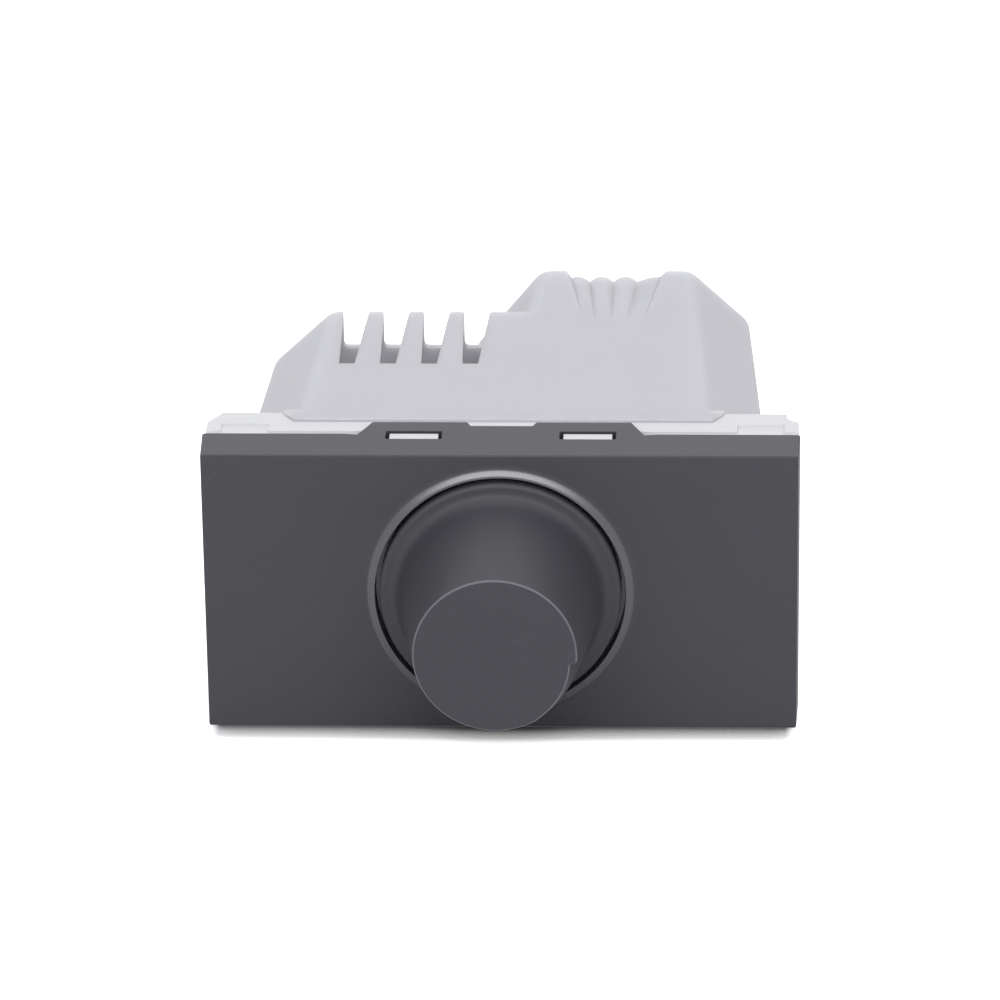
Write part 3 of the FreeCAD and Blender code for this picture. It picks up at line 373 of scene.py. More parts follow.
class Tree:
    """Adds nodes to one node tree and feeds them sockets or plain values."""

    def __init__(self, tree):
        self.tree = tree

    def feed(self, socket, value):
        if isinstance(value, bpy.types.NodeSocket):
            self.tree.links.new(value, socket)
        elif socket.type == "RGBA":
            socket.default_value = (*value[:3], 1.0)
        else:
            socket.default_value = value

    def add(self, kind, **inputs):
        made = self.tree.nodes.new(kind)
        for name, value in inputs.items():
            self.feed(made.inputs[name.replace("_", " ")], value)
        return made

    def ordered(self, kind, *values):
        """Adds a node and feeds its sockets in their order."""
        made = self.tree.nodes.new(kind)
        for socket, value in zip(made.inputs, values):
            self.feed(socket, value)
        return made

    def math(self, operation, *values):
        made = self.ordered("ShaderNodeMath", *values)
        made.operation = operation
        return made.outputs["Value"]

    def plus(self, first, second):
        return self.math("ADD", first, second)

    def minus(self, first, second):
        return self.math("SUBTRACT", first, second)

    def times(self, product, *others):
        for other in others:
            product = self.math("MULTIPLY", product, other)
        return product

    def over(self, first, second):
        return self.math("DIVIDE", first, second)

    def remap(self, value, from_min, from_max, to_min, to_max, clamp=True):
        made = self.add("ShaderNodeMapRange", Value=value, From_Min=from_min, From_Max=from_max,
                        To_Min=to_min, To_Max=to_max)
        made.clamp = clamp
        return made.outputs["Result"]

    def split(self, vector):
        return self.add("ShaderNodeSeparateXYZ", Vector=vector).outputs

    def blend(self, factor, first, second):
        """Mix of two colours; sockets are picked by identifier, as their names repeat."""
        made = self.add("ShaderNodeMix")
        made.data_type = "RGBA"
        sockets = {socket.identifier: socket for socket in made.inputs}
        for key, value in (("Factor_Float", factor), ("A_Color", first), ("B_Color", second)):
            self.feed(sockets[key], value)
        return next(socket for socket in made.outputs if socket.identifier == "Result_Color")


class Paint(Tree):
    """A new material with one principled shader, painted by the place of its points."""

    def __init__(self, name):
        self.material = bpy.data.materials.new(name)
        self.material.use_nodes = True
        super().__init__(self.material.node_tree)
        self.tree.nodes.clear()
        self.surface = self.add("ShaderNodeOutputMaterial").inputs["Surface"]
        self.shader = self.add("ShaderNodeBsdfPrincipled")
        self.feed(self.surface, self.shader.outputs["BSDF"])
        self.place = self.add("ShaderNodeTexCoord").outputs["Object"]

    def set(self, **inputs):
        for name, value in inputs.items():
            self.feed(self.shader.inputs[name.replace("_", " ")], value)

    def dye(self, colour_socket):
        self.colour = colour_socket
        self.set(Base_Color=colour_socket)

    def noise(self, scale, detail, roughness=0.5, place=None):
        return self.add("ShaderNodeTexNoise", Vector=place or self.place, Scale=scale,
                        Detail=detail, Roughness=roughness).outputs["Fac"]

    def relief(self, height, distance, strength):
        bump = self.add("ShaderNodeBump", Height=height, Distance=distance, Strength=strength)
        self.set(Normal=bump.outputs["Normal"])

    def band(self, value, start, start_fade, end, end_fade):
        """One where the value lies between a start and an end, with soft limits."""
        return self.times(self.remap(value, start, start + start_fade, 0.0, 1.0),
                          self.remap(value, end, end + end_fade, 1.0, 0.0))


def moulded_plastic(name, base, roughness, grain, grain_height, mottle=0.04, dust=0.0,
                    reflection=0.5, glow=0.0, polished_before=None, painted_highlight_from=None):
    """Plastic from an eroded mould: fine grain, faint flow mottling and specks of dust.

    It is polished before one Y place, and has a painted highlight, a pale band, on the rim behind
    another.
    """
    paint = Paint(name)
    y = paint.split(paint.place)["Y"]
    fine = paint.noise(grain, 2.0, 0.6)
    pits = paint.add("ShaderNodeTexVoronoi", Vector=paint.place, Scale=grain * 0.55)
    flow = paint.remap(paint.noise(90.0, 3.0, 0.55), 0.0, 1.0, 1.0 - mottle, 1.0 + mottle)
    tint = paint.ordered("ShaderNodeVectorMath", base)
    tint.operation = "SCALE"
    paint.feed(tint.inputs["Scale"], flow)
    dyed = tint.outputs["Vector"]
    if dust:
        specks = paint.remap(paint.noise(1400.0, 4.0, 0.75), 0.62, 0.78, 0.0, dust)
        dyed = paint.blend(specks, dyed, DUST_COLOUR)
    # Painted highlight: a pale band on a rounded front edge, in place of the light that the edge
    # catches.
    if painted_highlight_from is not None:
        rim = paint.band(y, painted_highlight_from + RIM_HIGHLIGHT_START, RIM_HIGHLIGHT_FADE_IN, painted_highlight_from + RIM_HIGHLIGHT_END,
                         RIM_HIGHLIGHT_FADE_OUT)
        dyed = paint.blend(rim, dyed, PAINTED_HIGHLIGHT_COLOUR)
    paint.dye(dyed)
    shine = paint.remap(fine, 0.0, 1.0, roughness - GLOSS_SPREAD, roughness + GLOSS_SPREAD)
    paint.set(Specular_IOR_Level=reflection, Subsurface_Weight=glow,
              Subsurface_Radius=(1.0, 1.0, 1.0), Subsurface_Scale=GLOW_DEPTH)
    grain_strength = 1.0
    if polished_before is not None:
        limits = (y, polished_before - POLISH_FADE, polished_before)
        shine = paint.times(paint.remap(*limits, 0.6, 1.0), shine)
        paint.set(Specular_IOR_Level=paint.remap(*limits, 1.0, reflection))
        grain_strength = paint.remap(*limits, 0.0, 1.0)
    paint.set(Roughness=shine)
    uneven = paint.math("MULTIPLY_ADD", pits.outputs["Distance"], 0.5, fine)
    paint.relief(uneven, grain_height, grain_strength)
    return paint


def tin_standing(paint, body_from):
    """Tinned leads on a part that stands on the board, before the Y place of its body."""
    y = paint.split(paint.place)["Y"]
    tin_leads(paint, paint.remap(y, body_from - LEAD_FADE, body_from, 1.0, 0.0))


def tin_lying(paint, centre, offset, half, bands):
    """Tinned leads past the ends of a part that lies along Z, and its colour bands."""
    z = paint.split(paint.place)["Z"]
    along = paint.minus(paint.math("ABSOLUTE", paint.minus(z, centre)), offset)
    for start, colour_of_band in bands:
        stripe = paint.band(along, start, STRIPE_FADE, start + STRIPE_WIDTH, STRIPE_FADE)
        paint.dye(paint.blend(stripe, paint.colour, colour_of_band))
    past = paint.math("ABSOLUTE", along)
    tin_leads(paint, paint.remap(past, half, half + LEAD_FADE, 0.0, 1.0))


def tin_leads(paint, lead):
    paint.dye(paint.blend(lead, paint.colour, TIN_COLOUR))
    paint.set(Metallic=lead)


def metal(name, base, roughness, grain_scale, stretch=(1.0, 1.0, 1.0)):
    """Bare metal with drawn or tumbled marks and patches of dull tarnish."""
    paint = Paint(name)
    stretched = paint.add("ShaderNodeMapping", Vector=paint.place, Scale=stretch)
    marks = paint.noise(grain_scale, 4.0, 0.6, stretched.outputs["Vector"])
    dull = [channel * 0.85 for channel in base]
    paint.dye(paint.blend(paint.noise(300.0, 3.0), base, dull))
    shine = paint.remap(marks, 0.0, 1.0, roughness - 0.08, roughness + 0.10)
    paint.set(Metallic=1.0, Roughness=shine)
    paint.relief(marks, 0.00001, 0.5)
    return paint


def cover_plastic():
    return moulded_plastic("dark_plastic_polished_ring", bpy.context.scene.dimmer_colours.cover,
                           0.45, 5200.0, 0.00001, dust=0.03, reflection=0.35,
                           polished_before=FACE_Y * MM - 0.00004).material


def knob_plastic():
    # The knob's rounded front edge gets a pale band of painted highlight.
    return moulded_plastic("dark_plastic_fine_grain", bpy.context.scene.dimmer_colours.cover,
                           0.48, 5200.0, 0.00001, dust=0.03, reflection=0.3,
                           painted_highlight_from=(FACE_Y - size("knob", "reach")) * MM).material


def housing_plastic():
    return moulded_plastic("matt_grey_plastic", bpy.context.scene.dimmer_colours.housing,
                           0.52, 3800.0, 0.000012, mottle=0.02, glow=0.9).material


def chassis_plastic():
    return moulded_plastic("matt_pale_plastic", bpy.context.scene.dimmer_colours.chassis,
                           0.48, 3800.0, 0.00001, mottle=0.02).material


# Geometry Nodes trees

class Recipe(Tree):
    """Builds one Geometry Nodes tree from named inputs."""

    def __init__(self, name, inputs):
        super().__init__(bpy.data.node_groups.new(name, "GeometryNodeTree"))
        sockets = self.tree.interface
        sockets.new_socket("Source", in_out="INPUT", socket_type="NodeSocketGeometry")
        for label, default in inputs.items():
            kind = "Int" if isinstance(default, int) else "Float"
            socket = sockets.new_socket(label, in_out="INPUT", socket_type="NodeSocket" + kind)
            socket.default_value = default
        sockets.new_socket("Material", in_out="INPUT", socket_type="NodeSocketMaterial")
        sockets.new_socket("Form", in_out="OUTPUT", socket_type="NodeSocketGeometry")
        self.given = self.tree.nodes.new("NodeGroupInput").outputs

    def turned_place(self, radius, angle, y):
        """The place at a radius and an angle about the Y axis."""
        return self.add("ShaderNodeCombineXYZ", X=self.times(radius, self.math("COSINE", angle)),
                        Y=y, Z=self.times(radius, self.math("SINE", angle))).outputs["Vector"]

    def finish(self, geometry):
        real = self.add("GeometryNodeRealizeInstances", Geometry=geometry)
        dressed = self.add("GeometryNodeSetMaterial", Geometry=real.outputs["Geometry"],
                           Material=self.given["Material"])
        self.add("NodeGroupOutput", Form=dressed.outputs["Geometry"])
        return self.tree


def step_factor(recipe, angle, y):
    """Share of the radius left by a step that fades out along and round the form."""
    given, minus, times = recipe.given, recipe.minus, recipe.times
    behind = recipe.math("FLOORED_MODULO", minus(given["Step start"], angle), 2 * math.pi)
    share = recipe.over(behind, given["Step sweep"])
    left = minus(1.0, recipe.math("MINIMUM", share, 1.0))
    rise = recipe.remap(share, 0.0, 0.06, 0.0, 1.0)
    eased = times(rise, rise, minus(3.0, times(rise, 2.0)))
    depth = times(eased, recipe.math("POWER", left, 0.75), given["Step height"])
    cut = recipe.remap(y, given["Rim y"], given["Fade y"], minus(given["Rim radius"], depth),
                       given["Fade radius"], clamp=False)
    cone = recipe.remap(y, given["Rim y"], given["Neck y"], given["Rim radius"],
                        given["Neck radius"], clamp=False)
    squeeze = recipe.math("SMOOTH_MIN", recipe.over(cut, cone), 1.0, 0.012)
    stepped = recipe.math("GREATER_THAN", given["Step height"], 0.0)
    return recipe.plus(1.0, times(minus(squeeze, 1.0), stepped))


def thread_bite(recipe, angle, y):
    """Depth of a thread that runs out softly at both of its ends."""
    given = recipe.given
    turns = recipe.minus(recipe.over(y, given["Thread pitch"]), recipe.over(angle, 2 * math.pi))
    ridge = recipe.times(recipe.math("PINGPONG", turns, 0.5), 2.0)
    start = recipe.remap(y, given["Thread from"], recipe.plus(given["Thread from"], 0.3), 0.0, 1.0)
    end = recipe.remap(y, recipe.minus(given["Thread to"], 0.3), given["Thread to"], 1.0, 0.0)
    return recipe.times(recipe.times(ridge, given["Thread depth"]), recipe.times(start, end))


def turned_form_tree():
    """Turns a profile of (radius, y) points about Y, with a fading step or a thread."""
    tree = bpy.data.node_groups.get("turned_form")
    if tree:
        return tree
    recipe = Recipe("turned_form", {
        "Steps round": 96, "Step height": 0.0, "Step start": 0.0, "Step sweep": 1.0,
        "Rim y": 0.0, "Rim radius": 1.0, "Neck y": 1.0, "Neck radius": 1.0, "Fade y": 1.0,
        "Fade radius": 1.0, "Thread depth": 0.0, "Thread pitch": 0.5, "Thread from": 0.0,
        "Thread to": 1.0})
    given, plus, times = recipe.given, recipe.plus, recipe.times
    points = recipe.add("GeometryNodeAttributeDomainSize", Geometry=given["Source"])
    count = points.outputs["Point Count"]
    grid = recipe.add("GeometryNodeMeshGrid", Vertices_X=plus(given["Steps round"], 1),
                      Vertices_Y=count)
    position = recipe.add("GeometryNodeInputPosition").outputs["Position"]
    place = recipe.split(position)
    angle = times(plus(place["X"], 0.5), 2 * math.pi)
    row = recipe.math("ROUND", times(plus(place["Y"], 0.5), recipe.minus(count, 1)))
    sample = recipe.add("GeometryNodeSampleIndex")
    sample.data_type = "FLOAT_VECTOR"
    for name, value in (("Geometry", given["Source"]), ("Value", position), ("Index", row)):
        recipe.feed(sample.inputs[name], value)
    section = recipe.split(sample.outputs["Value"])
    radius, y = section["X"], section["Y"]
    stepped = times(radius, step_factor(recipe, angle, y))
    outward = recipe.math("MAXIMUM", recipe.minus(stepped, thread_bite(recipe, angle, y)), 0.0)
    moved = recipe.add("GeometryNodeSetPosition", Geometry=grid.outputs["Mesh"],
                       Position=recipe.turned_place(outward, angle, y))
    merged = recipe.add("GeometryNodeMergeByDistance", Geometry=moved.outputs["Geometry"],
                        Distance=0.0005)
    return recipe.finish(merged.outputs["Geometry"])


def wound_coil_tree():
    """Wire wound to and fro in layers about the Y axis."""
    recipe = Recipe("wound_coil", {
        "Turns": 14, "Layers": 4, "Steps": 24, "Inner radius": 1.0, "Layer step": 0.6,
        "Front y": 0.0, "Rear y": 10.0, "Wire radius": 0.3})
    given, plus, times = recipe.given, recipe.plus, recipe.times
    per_layer = times(given["Turns"], given["Steps"])
    line = recipe.add("GeometryNodeMeshLine", Count=times(per_layer, given["Layers"]))
    index = recipe.add("GeometryNodeInputIndex").outputs["Index"]
    place = recipe.over(index, per_layer)
    layer = recipe.math("FLOOR", place)
    climb = recipe.remap(recipe.math("FRACT", place), 0.97, 1.0, 0.0, 1.0)
    radius = plus(given["Inner radius"], times(plus(layer, climb), given["Layer step"]))
    outermost = plus(given["Inner radius"],
                     times(recipe.minus(given["Layers"], 1), given["Layer step"]))
    radius = recipe.math("MINIMUM", radius, outermost)
    y = recipe.remap(recipe.math("PINGPONG", place, 1.0), 0.0, 1.0, given["Front y"],
                     given["Rear y"], clamp=False)
    angle = times(recipe.over(index, given["Steps"]), 2 * math.pi)
    moved = recipe.add("GeometryNodeSetPosition", Geometry=line.outputs["Mesh"],
                       Position=recipe.turned_place(radius, angle, y))
    path = recipe.add("GeometryNodeMeshToCurve", Mesh=moved.outputs["Geometry"])
    section = recipe.add("GeometryNodeCurvePrimitiveCircle", Resolution=10,
                         Radius=given["Wire radius"])
    wire = recipe.add("GeometryNodeCurveToMesh", Curve=path.outputs["Curve"],
                      Profile_Curve=section.outputs["Curve"], Fill_Caps=True)
    return recipe.finish(wire.outputs["Mesh"])


def solder_tree():
    """A pad and a cone of solder, facing forward, on every point."""
    recipe = Recipe("solder_joints", {
        "Pad radius": 0.9, "Foot radius": 0.75, "Tip radius": 0.4, "Height": 0.45,
        "Pad thickness": 0.05})
    given = recipe.given
    cone = recipe.add("GeometryNodeMeshCone", Vertices=20, Radius_Top=given["Tip radius"],
                      Radius_Bottom=given["Foot radius"], Depth=given["Height"])
    pad = recipe.add("GeometryNodeMeshCone", Vertices=20, Radius_Top=given["Pad radius"],
                     Radius_Bottom=given["Pad radius"], Depth=given["Pad thickness"])
    both = recipe.add("GeometryNodeJoinGeometry")
    for made in (cone, pad):
        recipe.feed(both.inputs["Geometry"], made.outputs["Mesh"])
    spots = recipe.add("GeometryNodeMeshToPoints", Mesh=given["Source"])
    copies = recipe.add("GeometryNodeInstanceOnPoints", Points=spots.outputs["Points"],
                        Instance=both.outputs["Geometry"], Rotation=(math.pi / 2, 0.0, 0.0))
    return recipe.finish(copies.outputs["Instances"])


def run_tree(obj, tree, values):
    """Gives an object a node tree with named inputs and keeps the result as its mesh."""
    modifier = obj.modifiers.new(tree.name, "NODES")
    modifier.node_group = tree
    keys = {item.name: item.identifier for item in tree.interface.items_tree
            if item.item_type == "SOCKET" and item.in_out == "INPUT"}
    for name, value in values.items():
        modifier[keys[name]] = value
    return baked(obj)


def turned(name, profile, material, **values):
    """Turned piece about the Y axis from a profile of (radius, y) points."""
    obj = link(name, chain([(radius, y, 0.0) for radius, y in profile]))
    inputs = {key.replace("_", " ").capitalize(): value for key, value in values.items()}
    inputs["Material"] = material
    run_tree(obj, turned_form_tree(), inputs)
    bm = bmesh.new()
    bm.from_mesh(obj.data)
    bmesh.ops.remove_doubles(bm, verts=bm.verts, dist=0.0005)
    bmesh.ops.recalc_face_normals(bm, faces=bm.faces)
    bm.to_mesh(obj.data)
    bm.free()
    return obj


# Front cover

def cover_spokes():
    """Directions of the cover's rings: evenly round, with more at the corners."""
    corner = math.atan2(HEIGHT, WIDTH)
    even = [2 * math.pi * i / 240 for i in range(240)]
    close = []
    for middle in (corner, math.pi - corner, math.pi + corner, -corner):
        close += [middle + math.radians(step * 0.35) for step in (-3, -2, -1, 0, 1, 2, 3)]
    close = [angle % (2 * math.pi) for angle in close]
    kept = [angle for angle in even
            if min(abs(angle - other) for other in close) > math.radians(0.5)]
    return sorted(kept + close)


def rectangle_ring(spokes, inset, y, corner_radius, flare=0.0):
    """Points of a rounded rectangle, moved in by an inset, met by the spokes."""
    half_x = WIDTH / 2 - inset + flare
    half_z = HEIGHT / 2 - inset
    radius = max(corner_radius - inset, 0.05)
    ring = []
    for angle in spokes:
        a, b = math.cos(angle), math.sin(angle)
        reach = min(half_x / max(abs(a), 1e-9), half_z / max(abs(b), 1e-9))
        centre = Vector((math.copysign(half_x - radius, a), math.copysign(half_z - radius, b)))
        if abs(a * reach) > abs(centre.x) and abs(b * reach) > abs(centre.y):
            along = centre.dot(Vector((a, b)))
            off = centre.length_squared - along * along
            reach = along + math.sqrt(max(radius * radius - off, 0.0))
        ring.append((a * reach, y, MID_Z + b * reach))
    return ring


def round_ring(spokes, radius, y):
    return [(radius * math.cos(angle), y, MID_Z + radius * math.sin(angle)) for angle in spokes]


def cover_shell():
    """The cover's walls, face and raised ring as one all-quad skin."""
    spokes = cover_spokes()
    hole, ring, plate, skirt, edge, wall = sizes("cover", "hole ring plate skirt edge wall")
    brink, bore_front, straight_end, foot_end = 0.06, 0.2, hole + 0.52, ring + 0.25
    crest = hole + brink
    rings = [round_ring(spokes, hole, plate), round_ring(spokes, hole, bore_front)]
    rings += [round_ring(spokes, crest - brink * c, -RING_HEIGHT + brink * (1 - s))
              for c, s in quarter(4)]
    fall = RING_HEIGHT / (straight_end - crest + (foot_end - straight_end) / 3)
    for k in range(1, 4):
        radius = crest + (straight_end - crest) * k / 3
        rings.append(round_ring(spokes, radius, -RING_HEIGHT + fall * (radius - crest)))
    foot_height = RING_HEIGHT - fall * (straight_end - crest)
    for k in range(1, 9):
        share = k / 8
        radius = straight_end + (foot_end - straight_end) * share
        rings.append(round_ring(spokes, radius, -foot_height * (1 - share) ** 3))
    rings.append(round_ring(spokes, foot_end + 0.15, 0.0))
    rings.append(rectangle_ring(spokes, edge + 0.05, 0.0, edge * 2))
    rings += [rectangle_ring(spokes, edge * (1 - s), edge * (1 - c), edge)
              for c, s in quarter(5)]
    rings += [rectangle_ring(spokes, 0.0, skirt, edge, FLARE),
              rectangle_ring(spokes, wall, skirt, edge),
              rectangle_ring(spokes, wall, plate, edge)]
    return loft(rings, closed=True)


def cover_tab():
    skirt, rear = sizes("cover", "skirt tab")
    root_half, tip_half, overlap, thickness = 10.9, 9.85, 0.9, 0.7
    gap_half, gap_front, gap_inner = 2.65, 6.1, 2.35
    outline = [(-root_half, skirt - overlap), (root_half, skirt - overlap), (root_half, skirt),
               (tip_half, rear), (gap_half, rear), (gap_inner, gap_front),
               (-gap_inner, gap_front), (-gap_half, rear), (-tip_half, rear),
               (-root_half, skirt)]
    return plate_z(outline, HEIGHT - thickness, HEIGHT)


def cover_window():
    centre, half, front, rear, corner, depth = 6.6, 2.15, 3.5, 5.05, 0.15, 2.0
    corners = [(centre - half, front, corner), (centre + half, front, corner),
               (centre + half, rear, corner), (centre - half, rear, corner)]
    return plate_z(rounded(corners, 3), HEIGHT - depth, HEIGHT + 1.0)


def tab_recess():
    """Shallow recess round the tabs, which fades out towards its ends."""
    low, half, outer, front = HEIGHT - 0.1, 10.4, 11.85, 2.0
    outline = [(-outer, HEIGHT + 1), (-outer, HEIGHT), (-half, low), (half, low),
               (outer, HEIGHT), (outer, HEIGHT + 1)]
    return loft([[(x, y, z) for x, z in outline] for y in (front, size("cover", "tab") + 1)])


class DIMMER_OT_cover(bpy.types.Operator):
    """Front cover with its raised ring, snap tabs and windows"""
    bl_idname = "dimmer.cover"
    bl_label = "Front cover"

    def execute(self, context):
        obj = link("front_cover_shell", cover_shell())
        join(obj, above_and_below(cover_tab()))
        cut(obj, above_and_below(tab_recess()))
        cut(obj, all_four(cover_window()))
        soften(obj, 0.06, angle=40.0)
        finish_piece(obj, "module", "cover_plastic", cover_plastic(), "front_cover")
        return {"FINISHED"}


# Knob

NECK_END = -2.6
STEP_FADE = -1.2
STEP_START, STEP_SWEEP = math.radians(-4.0), math.radians(58.0)


def arc(centre, radius, start, end, steps):
    """Points of an arc in the (radius, y) plane, angles in degrees."""
    points = []
    for k in range(steps + 1):
        angle = math.radians(start + (end - start) * k / steps)
        points.append((centre[0] + radius * math.cos(angle), centre[1] + radius * math.sin(angle)))
    return points


def bezier(a, b, c, d, steps):
    points = []
    for k in range(steps + 1):
        t = k / steps
        points.append(tuple(
            (1 - t) ** 3 * a[i] + 3 * (1 - t) ** 2 * t * b[i]
            + 3 * (1 - t) * t ** 2 * c[i] + t ** 3 * d[i] for i in (0, 1)))
    return points


def knob_profile():
    """Closed section of the knob from the middle of its front to its hub, as (radius, y)."""
    reach, disc, neck, skirt, wall = sizes("knob", "reach disc neck skirt wall")
    front, neck_y, flare_y, skirt_round, inside_y = -reach, NECK_END, -0.6, 0.38, 1.15
    flare, rim = skirt - 0.41, 0.16
    hub_hole, hub_round, hub_front, hub_bottom = 3.05, 4.5, -3.3, -9.45
    lean = math.degrees(math.atan2(neck - disc, neck_y - front))
    points = [(0.0, front), (disc * 0.5, front), (disc * 0.8, front), (disc - rim * 2, front)]
    points += arc((disc - rim, front + rim), rim, -90, -lean, 5)
    for k in range(1, 9):
        share = k / 9
        points.append((disc + (neck - disc) * share, front + (neck_y - front) * share))
    run = flare - neck
    along = Vector((neck - disc, neck_y - front)).normalized() * run
    points += bezier((neck, neck_y), (neck + along.x, neck_y + along.y),
                     (flare - run * 0.7, flare_y), (flare, flare_y), 14)
    points += [(flare + (skirt - flare) * s, flare_y + skirt_round * (1 - c))
               for c, s in quarter(6, 1)]
    points += [(skirt, inside_y - 0.1), (skirt - 0.1, inside_y), (skirt - wall, inside_y),
               (skirt - wall, 0.6), (flare - wall, 0.0), (neck - wall, neck_y + 0.6),
               (disc - wall + 0.15, front + wall), (hub_round, front + wall),
               (hub_round, hub_front), (hub_hole, hub_front), (hub_hole, hub_bottom),
               (0.0, hub_bottom)]
    return points


class DIMMER_OT_knob(bpy.types.Operator):
    """Flared turning knob with its pointer step"""
    bl_idname = "dimmer.knob"
    bl_label = "Knob"

    def execute(self, context):
        plastic = knob_plastic()
        reach, disc, neck, skirt, notch = sizes("knob", "reach disc neck skirt notch")
        obj = turned("knob_shell", knob_profile(), plastic, Steps_round=720, Step_height=notch,
                     Step_start=STEP_START, Step_sweep=STEP_SWEEP, Rim_y=-reach, Rim_radius=disc,
                     Neck_y=NECK_END, Neck_radius=neck, Fade_y=STEP_FADE, Fade_radius=skirt)
        obj.data.transform(Matrix.Translation((0, 0, MID_Z)))
        finish_piece(obj, "rotor", "cover_plastic", plastic, "knob", smooth_angle=50.0)
        return {"FINISHED"}


# Chassis

CHASSIS_HALF = near("chassis", 1, 0)
CHASSIS_REAR = near("chassis", 1, 1)
CHASSIS_TOP = MID_Z + 10.5
CHASSIS_LOW_TOP = CHASSIS_TOP - 0.35
TONGUE_GAP, SEAT_DEPTH = 0.02, 1.075


def chassis_flange():
    """Rear part of the chassis seen from above, with ramps at its ends."""
    half, rear = CHASSIS_HALF, CHASSIS_REAR
    inner = half - 0.9
    outline = [(-half, 4.39), (half, 4.39), (half, 8.6), (half - 0.63, 9.0), (inner, 9.4),
               (inner, rear), (-inner, rear), (-inner, 10.0), (-half, 8.3)]
    return plate_z(outline, HEIGHT - CHASSIS_TOP, CHASSIS_TOP)


def tongue_outline(gap):
    """Outline of the tongue, or of its seat when a gap is added."""
    front, slant, rear = 8.5 - gap, 9.9 - gap, CHASSIS_REAR + (1.0 if gap else 0.0)
    front_half, half = 16.0 + gap, 16.9 + gap
    return [(-front_half, front), (front_half, front), (half, slant), (half, rear),
            (-half, rear), (-half, slant)]


def cover_clip():
    """Hook in a window of the cover, with a lead-in slope in front."""
    left, right, front, rear, foot = 4.75, 8.45, 3.8, 4.9, CHASSIS_LOW_TOP - 1
    top = HEIGHT - 0.25
    slope = (rear - front) / 3
    outline = [(front, foot), (front, top - slope), (front + slope, top), (rear, top),
               (rear, foot)]
    return plate_x(outline, left, right)


class DIMMER_OT_chassis(bpy.types.Operator):
    """Pale chassis behind the cover, with its clips and end steps"""
    bl_idname = "dimmer.chassis"
    bl_label = "Chassis"

    def execute(self, context):
        low, high, above = HEIGHT - CHASSIS_LOW_TOP, CHASSIS_LOW_TOP, CHASSIS_TOP + 1
        behind, outside = CHASSIS_REAR + 1, CHASSIS_HALF + 1
        step_front, step_rear, ramp_rear, step_half, ramp_half = 4.24, 6.6, 8.05, 17.9, 21.5
        frame_half, frame_front = 21.35, 1.35
        obj = link("chassis_frame",
                   block(-frame_half, frame_half, frame_front, step_rear, low, high))
        join(obj, [chassis_flange()])
        steps = [block(-step_half, step_half, step_front, step_rear, high, above)]
        steps += both_sides(block(ramp_half, outside, step_front, step_rear, high, above))
        steps += both_sides(block(step_half, ramp_half, step_front, ramp_rear,
                                  CHASSIS_TOP - 0.2, above))
        for step in steps:
            cut(obj, above_and_below(step))
        join(obj, all_four(cover_clip()))
        seat = plate_z(tongue_outline(TONGUE_GAP), CASE_TOP - SEAT_DEPTH, above)
        cut(obj, above_and_below(seat))
        front_room = block(-19.85, 19.85, 0.0, 2.2, low + 1.5, high - 1.5)
        rear_room = block(-18.5, 18.5, 3.9, behind, MID_Z - 8.25, MID_Z + 8.25)
        cut(obj, [front_room, rear_room])
        ledge = block(-19.5, 19.5, 8.65, behind, MID_Z - 9.25, MID_Z + 9.25)
        bush_hole = rod_y(0, MID_Z, ((1.0, 3.55), (5.0, 3.55)))
        cut(obj, [ledge, bush_hole])
        snap_notch = block(CHASSIS_HALF - 1.0, outside, 5.2, 8.2, MID_Z - 3.25, MID_Z + 3.25)
        cut(obj, both_sides(snap_notch))
        soften(obj, 0.09, angle=30.0)
        finish_piece(obj, "module", "chassis_plastic", chassis_plastic(), "chassis")
        return {"FINISHED"}


# Rear housing

CASE_TOP = MID_Z + 10.75
CASE_BOTTOM = MID_Z - 10.75
SLANT, TOWER_SLANT = (4.85, 4.5), (5.4, 6.5)
COMB_REAR = 31.1
TOWER_REAR = near("rear_housing", 1, 1)


def between(y, y0, y1, at0, at1):
    return at0 + (at1 - at0) * (y - y0) / (y1 - y0)


def case_half(y):
    return between(y, CHASSIS_REAR, TOWER_REAR, 20.32, 18.98)


def tower_left(y):
    """Where the tower's top begins on its left side."""
    return between(y, COMB_REAR, TOWER_REAR, 1.3, 2.0)


def inset_corner(width, height, inset):
    slope = math.atan2(height, width)
    return (width - inset + inset * math.tan(slope / 2),
            height - inset + inset * math.tan(math.pi / 4 - slope / 2))


def case_ring(y, inset, tower=False):
    """Section of the housing: four slanted, rounded corners, moved in by an inset."""
    width, height = inset_corner(*SLANT, inset)
    if tower:
        left = tower_left(y) - TOWER_SLANT[0] + inset
        left_width, left_height = inset_corner(*TOWER_SLANT, inset)
    else:
        left = -case_half(y) + inset
        left_width, left_height = width, height
    right = case_half(y) - inset
    top, bottom = CASE_TOP - inset, CASE_BOTTOM + inset
    turn = max(size("housing", "corner") - inset, size("housing", "corner") / 4)
    corners = [(left + left_width, bottom, turn), (right - width, bottom, turn),
               (right, bottom + height, turn), (right, top - height, turn),
               (right - width, top, turn), (left + left_width, top, turn),
               (left, top - left_height, turn), (left, bottom + left_height, turn)]
    return [(x, y, z) for x, z in rounded(corners, 8)]


def beside_tower():
    """Space on the left of the tower, behind the slotted part."""
    rings = []
    for y in (COMB_REAR, TOWER_REAR + 1.0):
        ring = case_ring(y, 0.0, tower=True)
        per_corner = len(ring) // 8
        left_side = ring[5 * per_corner:] + ring[:per_corner]
        first, last = left_side[0], left_side[-1]
        far = -WIDTH
        rings.append([(first[0], y, CASE_TOP + 2)] + left_side
                     + [(last[0], y, CASE_BOTTOM - 2), (far, y, CASE_BOTTOM - 2),
                        (far, y, CASE_TOP + 2)])
    return loft(rings)


FIRST_SLOT, SLOT_PITCH, SLOT_FRONT, SLOT_SHIFT = -12.67, 3.23, 19.9, 0.09


def slot_middle(i):
    return FIRST_SLOT + i * SLOT_PITCH


